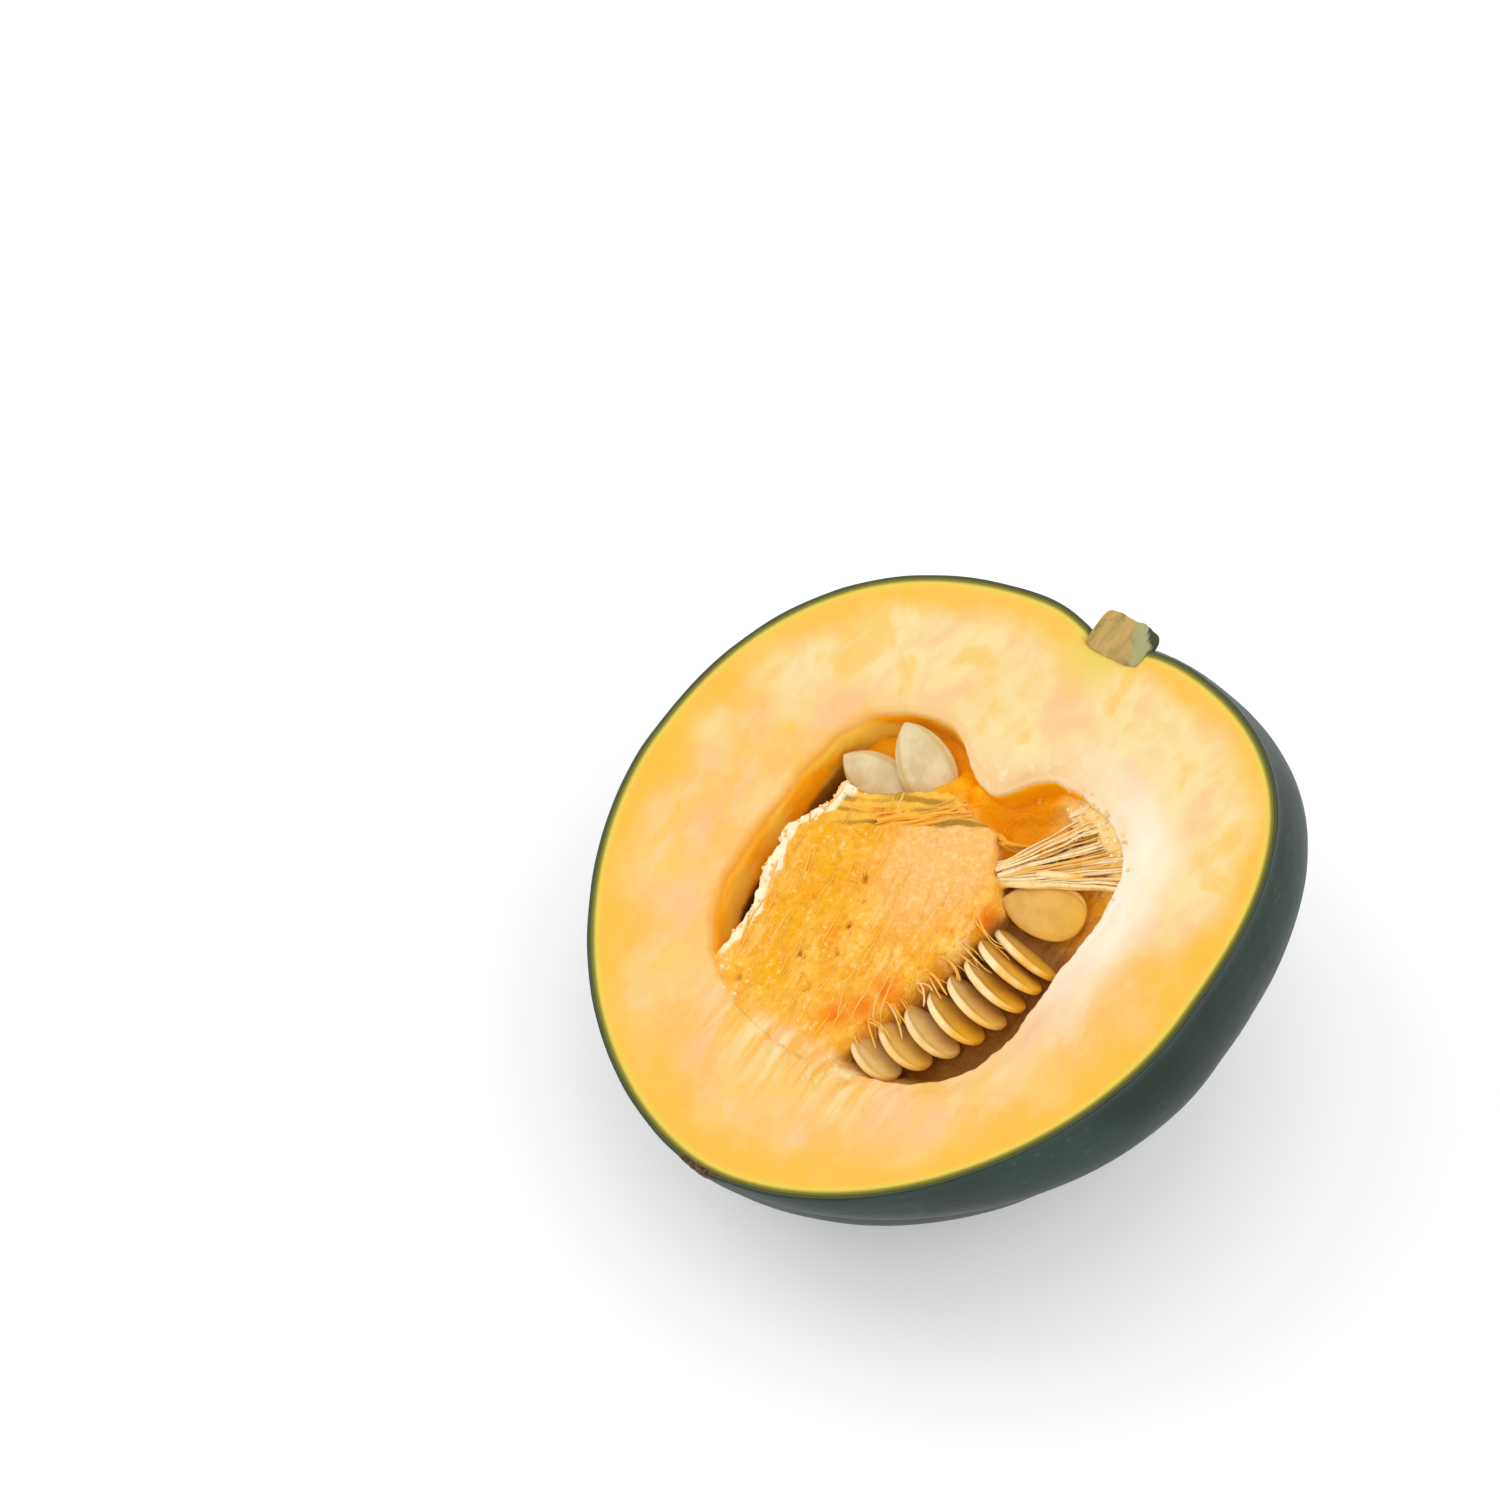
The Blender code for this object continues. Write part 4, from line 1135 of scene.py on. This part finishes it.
class Finish(Nodes):
    """A material, put together one node at a time."""

    def __init__(self, name):
        self.material = bpy.data.materials.new(name)
        self.material.use_nodes = True
        super().__init__(self.material.node_tree)
        self.shader = self.tree.nodes["Principled BSDF"]
        space = self.add('ShaderNodeTexCoord').outputs["Object"]
        place = self.add('ShaderNodeMapping', {"Vector": space}, vector_type='TEXTURE')
        place.inputs["Location"].default_value = CORE_PLACE
        place.inputs["Rotation"].default_value = LAY_TURN
        self.fruit = place.outputs["Vector"]

    def note(self, name):
        """A number kept on the mesh."""
        return self.add('ShaderNodeAttribute', attribute_name=name).outputs["Fac"]

    def grain(self, scale, detail=3.0, rough=0.55, stretch=(1.0, 1.0, 1.0), warp=0.0):
        """Noise from 0 to 1, so many swells a metre, stretched along the fruit's axes."""
        space = self.add('ShaderNodeMapping', {"Vector": self.fruit, "Scale": stretch}).outputs["Vector"]
        sockets = {
            "Vector": space, "Scale": scale, "Detail": detail, "Roughness": rough, "Distortion": warp}
        return self.add('ShaderNodeTexNoise', sockets).outputs["Fac"]

    def specks(self, scale):
        """How far the nearest speck is, so many specks a metre."""
        sockets = {"Vector": self.fruit, "Scale": scale}
        return self.add('ShaderNodeTexVoronoi', sockets).outputs["Distance"]

    def fit(self, value, low, high, out_low=0.0, out_high=1.0):
        """A number moved from one range to another, and held there."""
        sockets = {
            "Value": value, "From Min": low, "From Max": high, "To Min": out_low, "To Max": out_high}
        return self.add('ShaderNodeMapRange', sockets, interpolation_type='SMOOTHSTEP').outputs["Result"]

    def times(self, first, second):
        """Two numbers multiplied."""
        return self.add('ShaderNodeMath', {0: first, 1: second}, operation='MULTIPLY').outputs[0]

    def plus(self, first, second):
        """Two numbers added."""
        return self.add('ShaderNodeMath', {0: first, 1: second}, operation='ADD').outputs[0]

    def blend(self, under, over, share):
        """One colour over another."""
        node = self.add('ShaderNodeMix', data_type='RGBA')
        for index, value in ((0, share), (6, under), (7, over)):
            value = (*value, 1.0) if isinstance(value, tuple) else value
            self.feed(node.inputs[index], value)
        return node.outputs[2]

    def bumps(self, height, distance, strength=1.0, under=None):
        """A relief from a number."""
        sockets = {"Height": height, "Distance": distance, "Strength": strength}
        if under is not None:
            sockets["Normal"] = under
        return self.add('ShaderNodeBump', sockets).outputs["Normal"]

    def finish(self, colour, roughness, normal, **values):
        """Joins everything to the shader."""
        self.feed(self.shader.inputs["Base Color"], colour)
        self.feed(self.shader.inputs["Roughness"], roughness)
        self.feed(self.shader.inputs["Normal"], normal)
        for key, value in values.items():
            socket = SHADER_NAMES.get(key, key.replace("_", " ").title())
            self.shader.inputs[socket].default_value = value
        return self.material


def rind_finish():
    """Waxy dark green, paler in flecks and fine streaks along the fruit."""
    paint = Finish("rind_waxy_green")
    clouds = paint.grain(38.0, 4.0)
    streaks = paint.grain(150.0, 4.0, stretch=(0.22, 1.0, 1.0))
    flecks = paint.fit(paint.specks(330.0), 0.28, 0.12)
    colour = paint.blend(RIND_DARK, RIND_GREEN, paint.fit(clouds, 0.35, 0.68))
    colour = paint.blend(colour, RIND_STREAK, paint.fit(streaks, 0.52, 0.75, 0.0, 0.5))
    pale = paint.times(flecks, paint.fit(clouds, 0.4, 0.7, 0.0, 0.3))
    colour = paint.blend(colour, RIND_FLECK, pale)
    colour = paint.blend(colour, RIND_BY_STEM, paint.times(paint.note("stalk"), 0.5))
    colour = paint.blend(colour, RIND_CUT, paint.times(paint.note("cut"), 0.8))
    bark = paint.blend(SCAR_DARK, SCAR_BARK, paint.fit(paint.grain(900.0, 4.0), 0.35, 0.7))
    colour = paint.blend(colour, bark, paint.fit(paint.note("scar"), 0.28, 0.5))
    relief = paint.bumps(paint.grain(420.0, 3.0), 0.00018, 0.5)
    relief = paint.bumps(streaks, 0.0005, 0.35, relief)
    rough = paint.fit(clouds, 0.3, 0.7, 0.40, 0.52)
    rough = paint.plus(rough, paint.times(paint.note("scar"), 0.35))
    return paint.finish(colour, rough, relief, specular_ior_level=0.22)


def flesh_colour(paint):
    """Peach, yellow and pinkish clouds with a fine mottle."""
    clouds = paint.grain(52.0, 3.0, 0.5)
    mottle = paint.grain(190.0, 4.0, 0.6, stretch=(0.6, 1.0, 1.0))
    blush = paint.grain(95.0, 3.0, 0.55, stretch=(0.7, 1.0, 1.0), warp=0.4)
    along = paint.add('ShaderNodeSeparateXYZ', {"Vector": paint.fruit}).outputs["X"]
    by_stem = paint.fit(paint.plus(along, paint.fit(clouds, 0.2, 0.8, -0.03, 0.03)), -0.01, 0.05)
    colour = paint.blend(PEACH_DEEP, PEACH, paint.fit(clouds, 0.38, 0.62))
    colour = paint.blend(colour, PEACH_BY_STEM, by_stem)
    colour = paint.blend(colour, PEACH_MOTTLE, paint.fit(mottle, 0.47, 0.66, 0.0, 0.7))
    colour = paint.blend(colour, PINK_BLUSH, paint.fit(blush, 0.51, 0.66, 0.0, 0.65))
    colour = paint.blend(colour, YELLOW_BLUSH, paint.fit(blush, 0.48, 0.34, 0.0, 0.6))
    return colour, clouds, mottle


def streaky(paint, under):
    """Pale yellow and orange streaks along the core, over another colour."""
    streaks = paint.grain(430.0, 4.0, 0.6, stretch=(0.10, 1.0, 1.0), warp=0.25)
    colour = paint.blend(under, STREAK_ORANGE, paint.fit(streaks, 0.50, 0.38, 0.0, 0.9))
    return paint.blend(colour, STREAK_CREAM, paint.fit(streaks, 0.50, 0.62, 0.0, 0.9))


def flesh_finish():
    """Moist peach flesh: yellow by the rind, cream or orange by the cavity, with painted shade deep in
    the cavity and along the slot by the lump.
    """
    paint = Finish("flesh_moist_peach")
    rim = paint.note("rim")
    lip = paint.note("lip")
    colour, clouds, mottle = flesh_colour(paint)
    wander = paint.plus(rim, paint.fit(clouds, 0.2, 0.8, -4.0, 4.0))
    colour = paint.blend(colour, RIM_YELLOW, paint.fit(wander, 12.0, 2.5, 0.0, 0.85))
    colour = paint.blend(colour, RIM_LEMON, paint.fit(rim, 2.4, 1.0, 0.0, 0.85))
    colour = paint.blend(colour, STALK_YELLOW, paint.times(paint.note("stalk"), 0.75))
    colour = paint.blend(colour, RIM_GREEN, paint.fit(rim, 1.2, 0.3, 0.0, 0.95))
    cream = paint.times(paint.note("cream"), paint.fit(lip, 15.0, 4.0))
    cream = paint.times(cream, paint.fit(mottle, 0.25, 0.6, 0.7, 1.0))
    colour = paint.blend(colour, EDGE_CREAM, cream)
    left = paint.times(paint.note("left"), paint.fit(lip, 1.8, -0.4))
    colour = paint.blend(colour, EDGE_ORANGE, left)
    tip = paint.times(paint.note("tip"), paint.fit(lip, 15.0, 1.0))
    colour = paint.blend(colour, streaky(paint, colour), tip)
    ridge = paint.times(paint.note("ridge"), paint.fit(lip, 10.0, 3.0))
    grit = paint.fit(paint.grain(480.0, 3.0, 0.6), 0.50, 0.66, 0.0, 0.5)
    colour = paint.blend(colour, RIDGE_PEACH, ridge)
    colour = paint.blend(colour, RIDGE_GRIT, paint.times(ridge, grit))
    bands = paint.grain(150.0, 3.0, 0.5, stretch=(0.5, 0.5, 1.6))
    wall = paint.blend(WALL_ORANGE, WALL_YELLOW, paint.fit(bands, 0.38, 0.62))
    wall = paint.blend(wall, WALL_BY_RECESS, paint.note("recess"))
    # Painted shade: the wall darkens towards the cavity's foot
    wall = paint.blend(wall, WALL_DEEP_SHADE, paint.fit(lip, -7.5, -10.5, 0.0, 0.8))
    shade = paint.times(paint.note("left"), paint.fit(paint.plus(lip, bands), -5.8, -7.4))
    wall = paint.blend(wall, WALL_SHADE, shade)
    edge = paint.plus(lip, paint.times(paint.note("worn"), 2.6))
    colour = paint.blend(colour, wall, paint.fit(edge, -0.2, -1.6))
    relief = paint.bumps(paint.grain(1500.0, 3.0, 0.6), 0.00012, 0.7)
    relief = paint.bumps(mottle, 0.0004, 0.35, relief)
    rough = paint.fit(paint.grain(500.0, 2.0), 0.3, 0.7, 0.42, 0.60)
    return paint.finish(
        colour, rough, relief, specular_ior_level=0.12, subsurface_weight=0.2,
        subsurface_radius=(1.0, 0.45, 0.15), subsurface_scale=0.002)


def pulp_finish():
    """Wet fibre: orange, peach on the dome, cream on the lip, brown in the bed, with painted shade under
    the seeds, in the slot and under the strands.
    """
    paint = Finish("pulp_wet_fibre")
    fibre = paint.grain(420.0, 4.0, 0.6, stretch=(0.16, 1.0, 1.0), warp=0.3)
    clouds = paint.grain(150.0, 3.0, 0.6, warp=0.5)
    crumbs = paint.fit(paint.grain(760.0, 4.0, 0.7), 0.48, 0.62)
    colour = paint.blend(PULP_ORANGE, PULP_AMBER, paint.fit(clouds, 0.40, 0.60))
    colour = paint.blend(colour, PULP_FIBRE, paint.fit(fibre, 0.5, 0.66, 0.0, 0.7))
    specks = paint.grain(850.0, 3.0, 0.6)
    yellow = paint.times(paint.note("yellow"), paint.fit(clouds, 0.3, 0.5))
    colour = paint.blend(colour, PULP_YELLOW, yellow)
    colour = paint.blend(colour, DARK_SPECK, paint.fit(specks, 0.44, 0.32, 0.0, 0.75))
    colour = paint.blend(colour, PALE_SPECK, paint.fit(specks, 0.56, 0.70, 0.0, 0.6))
    dome = paint.fit(paint.note("dome"), 0.1, 0.8)
    colour = paint.blend(colour, DOME_PEACH, dome)
    colour = paint.blend(colour, DOME_CRUMB, paint.times(dome, crumbs))
    ember = paint.times(paint.note("ember"), paint.fit(clouds, 0.2, 0.5, 0.5, 1.0))
    colour = paint.blend(colour, EMBER, ember)
    bed = paint.blend(BED_BROWN, BED_ORANGE, paint.fit(fibre, 0.36, 0.66))
    # Painted shade under and between the row of seeds
    bed = paint.blend(bed, SEED_GAP_SHADE, paint.times(paint.note("seed_gap_shade"), 0.85))
    # Painted shade at the foot of the slot beside the lump
    bed = paint.blend(bed, SLOT_SHADE_BROWN, paint.fit(paint.note("slot"), 0.3, 0.8, 0.0, 0.9))
    bed = paint.blend(bed, RECESS_ORANGE, paint.note("hollow"))
    bed = paint.blend(bed, BED_TAN, paint.times(paint.note("tan"), 0.85))
    bed = paint.blend(bed, SHELF_CREAM, paint.fit(paint.note("shelf"), 0.25, 0.8))
    colour = paint.blend(colour, bed, paint.fit(paint.note("bed"), 0.25, 0.8))
    gold = paint.blend(WEAVE_SHADE, WEAVE_GOLD, paint.fit(paint.note("weave"), -0.30, 0.05))
    colour = paint.blend(colour, gold, paint.times(paint.note("terrace"), 0.85))
    colour = paint.blend(colour, LIP_CREAM, paint.fit(paint.note("lip"), 0.25, 0.55))
    colour = paint.blend(colour, PIT_BROWN, paint.fit(paint.note("pit"), 0.35, 0.9, 0.0, 0.75))
    # Painted shadow of the fan of strands, in the dips under them
    colour = paint.blend(colour, HOLE_SHADOW_BROWN, paint.fit(paint.note("hole"), 0.3, 0.8))
    merged = streaky(paint, flesh_colour(paint)[0])
    colour = paint.blend(colour, merged, paint.fit(paint.note("fringe"), 0.1, 0.9))
    relief = paint.bumps(fibre, 0.0009, 0.7)
    relief = paint.bumps(paint.grain(1300.0, 3.0, 0.65), 0.0005, 0.7, relief)
    rough = paint.fit(clouds, 0.3, 0.7, 0.32, 0.5)
    return paint.finish(
        colour, rough, relief, specular_ior_level=0.15, subsurface_weight=0.2,
        subsurface_radius=(1.0, 0.4, 0.1), subsurface_scale=0.0015)


def strand_finish():
    """Wet strands from orange to pale cream."""
    paint = Finish("strand_wet_cream")
    along = paint.grain(700.0, 3.0)
    colour = paint.blend(STRAND_ORANGE, STRAND_CREAM, paint.fit(paint.note("pale"), 0.2, 0.8))
    colour = paint.blend(colour, STRAND_WET, paint.fit(along, 0.50, 0.68, 0.0, 0.7))
    relief = paint.bumps(along, 0.0002, 0.5)
    rough = paint.fit(along, 0.3, 0.7, 0.35, 0.5)
    return paint.finish(
        colour, rough, relief, specular_ior_level=0.15, subsurface_weight=0.15,
        subsurface_radius=(1.0, 0.5, 0.2), subsurface_scale=0.001)


def crumb_finish():
    """Crumbs of flesh and fibre, cream to orange."""
    paint = Finish("crumb_cream")
    clouds = paint.grain(400.0, 3.0)
    colour = paint.blend(CRUMB_ORANGE, CRUMB_CREAM, paint.fit(clouds, 0.4, 0.65))
    relief = paint.bumps(paint.grain(1800.0, 3.0), 0.0002, 0.6)
    rough = paint.fit(clouds, 0.3, 0.7, 0.45, 0.6)
    return paint.finish(
        colour, rough, relief, specular_ior_level=0.12, subsurface_weight=0.15,
        subsurface_radius=(1.0, 0.5, 0.2), subsurface_scale=0.001)


def seed_finish():
    """Smooth hulls with a pale upper edge, from tan at the tip to gold at the foot."""
    paint = Finish("seed_cream_hull")
    clouds = paint.grain(240.0, 3.0)
    veins = paint.grain(900.0, 3.0)
    foot = paint.fit(paint.plus(paint.note("foot"), paint.fit(clouds, 0.3, 0.7, -0.15, 0.15)), 0.3, 0.95)
    tan = paint.blend(SEED_TAN, SEED_TAN_LIGHT, paint.fit(clouds, 0.38, 0.62))
    tan = paint.blend(tan, SEED_FOOT, paint.times(foot, 0.9))
    tan = paint.blend(tan, SEED_GROOVE, paint.fit(paint.note("upper"), 0.62, 0.76, 0.0, 0.5))
    edge = paint.blend(SEED_EDGE, SEED_EDGE_FOOT, foot)
    tan = paint.blend(tan, edge, paint.fit(paint.note("upper"), 0.78, 0.90))
    pale = paint.blend(PALE_SEED, PALE_SEED_LIGHT, paint.fit(clouds, 0.36, 0.64))
    pale = paint.blend(pale, PALE_SEED_EDGE, paint.times(paint.note("bead"), 0.7))
    colour = paint.blend(tan, pale, paint.note("pale"))
    relief = paint.bumps(veins, 0.00015, 0.4)
    rough = paint.fit(veins, 0.3, 0.7, 0.36, 0.5)
    return paint.finish(
        colour, rough, relief, specular_ior_level=0.15, subsurface_weight=0.1,
        subsurface_radius=(1.0, 0.6, 0.3), subsurface_scale=0.001)


def stem_finish():
    """Dry cork: beige ridges, olive between them, greener towards its right side, where painted shade
    darkens it to near black.
    """
    paint = Finish("stem_dry_cork")
    lines = paint.grain(420.0, 4.0, 0.6, stretch=(0.2, 1.0, 1.0))
    spots = paint.grain(260.0, 4.0)
    colour = paint.blend(CORK_GROOVE, CORK_BEIGE, paint.fit(lines, 0.35, 0.62))
    colour = paint.blend(colour, CORK_CUT, paint.times(paint.note("cut"), 0.55))
    colour = paint.blend(colour, CORK_OLIVE, paint.fit(spots, 0.52, 0.68, 0.0, 0.8))
    right = paint.plus(paint.note("right"), paint.fit(lines, 0.3, 0.7, -1.2, 1.2))
    colour = paint.blend(colour, STEM_GREEN, paint.fit(right, 1.5, 4.0, 0.0, 0.9))
    # Painted shade: the right edge darkens to near black
    colour = paint.blend(colour, STEM_RIGHT_SHADE, paint.fit(right, 5.0, 6.2, 0.0, 0.95))
    relief = paint.bumps(lines, 0.0008, 0.7)
    return paint.finish(colour, 0.75, relief, specular_ior_level=0.2)


def floor_finish():
    """Plain pale paper."""
    paint = Finish("floor_pale")
    shade = paint.blend(FLOOR_PALE, FLOOR_PALER, paint.grain(20.0, 2.0))
    relief = paint.bumps(paint.grain(900.0, 2.0), 0.0001, 0.1)
    glow = (1.0, 1.0, 1.0, 1.0)
    return paint.finish(
        shade, 0.85, relief, specular_ior_level=0.2, emission_color=glow, emission_strength=FLOOR_GLOW)


# The stage

def make_floor():
    """A wide plain floor at the object's foot."""
    mesh = bpy.data.meshes.new("floor")
    corners = [(FLOOR_REACH * x, FLOOR_REACH * y, 0.0) for x, y in ((-1, -1), (1, -1), (1, 1), (-1, 1))]
    mesh.from_pydata(corners, [], [(0, 1, 2, 3)])
    mesh.materials.append(floor_finish())
    floor = bpy.data.objects.new("floor", mesh)
    bpy.context.scene.collection.objects.link(floor)


def make_light(name, place, size, power):
    """A soft square light that looks at the object."""
    light = bpy.data.lights.new(name, 'AREA')
    light.size = size
    light.energy = power
    lamp = bpy.data.objects.new(name, light)
    lamp.location = place
    lamp.rotation_euler = (Vector(place) - Vector(LIGHT_AIM)).to_track_quat('Z', 'Y').to_euler()
    bpy.context.scene.collection.objects.link(lamp)


def make_camera():
    """The photograph's viewpoint."""
    lens = bpy.data.cameras.new("camera")
    lens.lens = CAMERA_LENS
    lens.sensor_width = CAMERA_SENSOR
    camera = bpy.data.objects.new("camera", lens)
    camera.location = CAMERA_PLACE
    camera.rotation_euler = Vector(CAMERA_BACK).to_track_quat('Z', 'Y').to_euler()
    bpy.context.scene.collection.objects.link(camera)
    bpy.context.scene.camera = camera


def make_stage():
    """The floor, the lights, the sky and the camera."""
    make_floor()
    for name, (place, size, power) in LIGHTS.items():
        make_light(name, place, size, power)
    sky = bpy.data.worlds.new("sky")
    sky.use_nodes = True
    inputs = sky.node_tree.nodes["Background"].inputs
    inputs["Color"].default_value = (1.0, 1.0, 1.0, 1.0)
    inputs["Strength"].default_value = SKY_STRENGTH
    bpy.context.scene.world = sky
    bpy.context.scene.view_settings.view_transform = 'Standard'
    make_camera()


def dress(piece, finish, slot, *nodes):
    """Puts a piece on the object in place of its plain solids."""
    piece.data.materials.append(finish)
    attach(piece, "root")
    if nodes:
        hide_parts(*nodes)


def add_piece(piece, slot):
    """Puts a piece on the object beside its solids, in the material it was grown with."""
    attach(piece, "root")


def main():
    """Dresses the half squash."""
    dress(make_rind(), rind_finish(), "rind", "rind")
    flesh = make_flesh()
    dress(flesh, flesh_finish(), "flesh", "flesh")
    pulp = make_pulp()
    dress(pulp, pulp_finish(), "pulp", "pulp")
    cream = strand_finish()
    for name, paths in (("cream_strands", strand_paths()), ("lump_fibres", fibre_paths())):
        source = make_paths(name + "_paths", paths)
        add_piece(grow(name, source, strand_growth(cream), Sides=STRAND_SIDES), "pulp")
    crumbs = crumb_growth(crumb_finish())
    for name, ground, slot in (("pulp_crumbs", pulp, "pulp"), ("flesh_crumbs", flesh, "flesh")):
        density, seed = CRUMB_GROUNDS[name]
        wanted = {"Density": density, "Seed": seed, "Small": SMALL_CRUMB, "Large": LARGE_CRUMB}
        add_piece(grow(name, ground.data, crumbs, **wanted), slot)
    dress(make_stem(), stem_finish(), "stem", "stem")
    hull = seed_finish()
    for name, place, heading, pitch, lean, size in seed_specs():
        paleness = SEED_PALENESS.get(name, 0.0)
        dress(make_seed(name, place, heading, pitch, lean, size, paleness), hull, "seed", name)
    make_stage()


main()
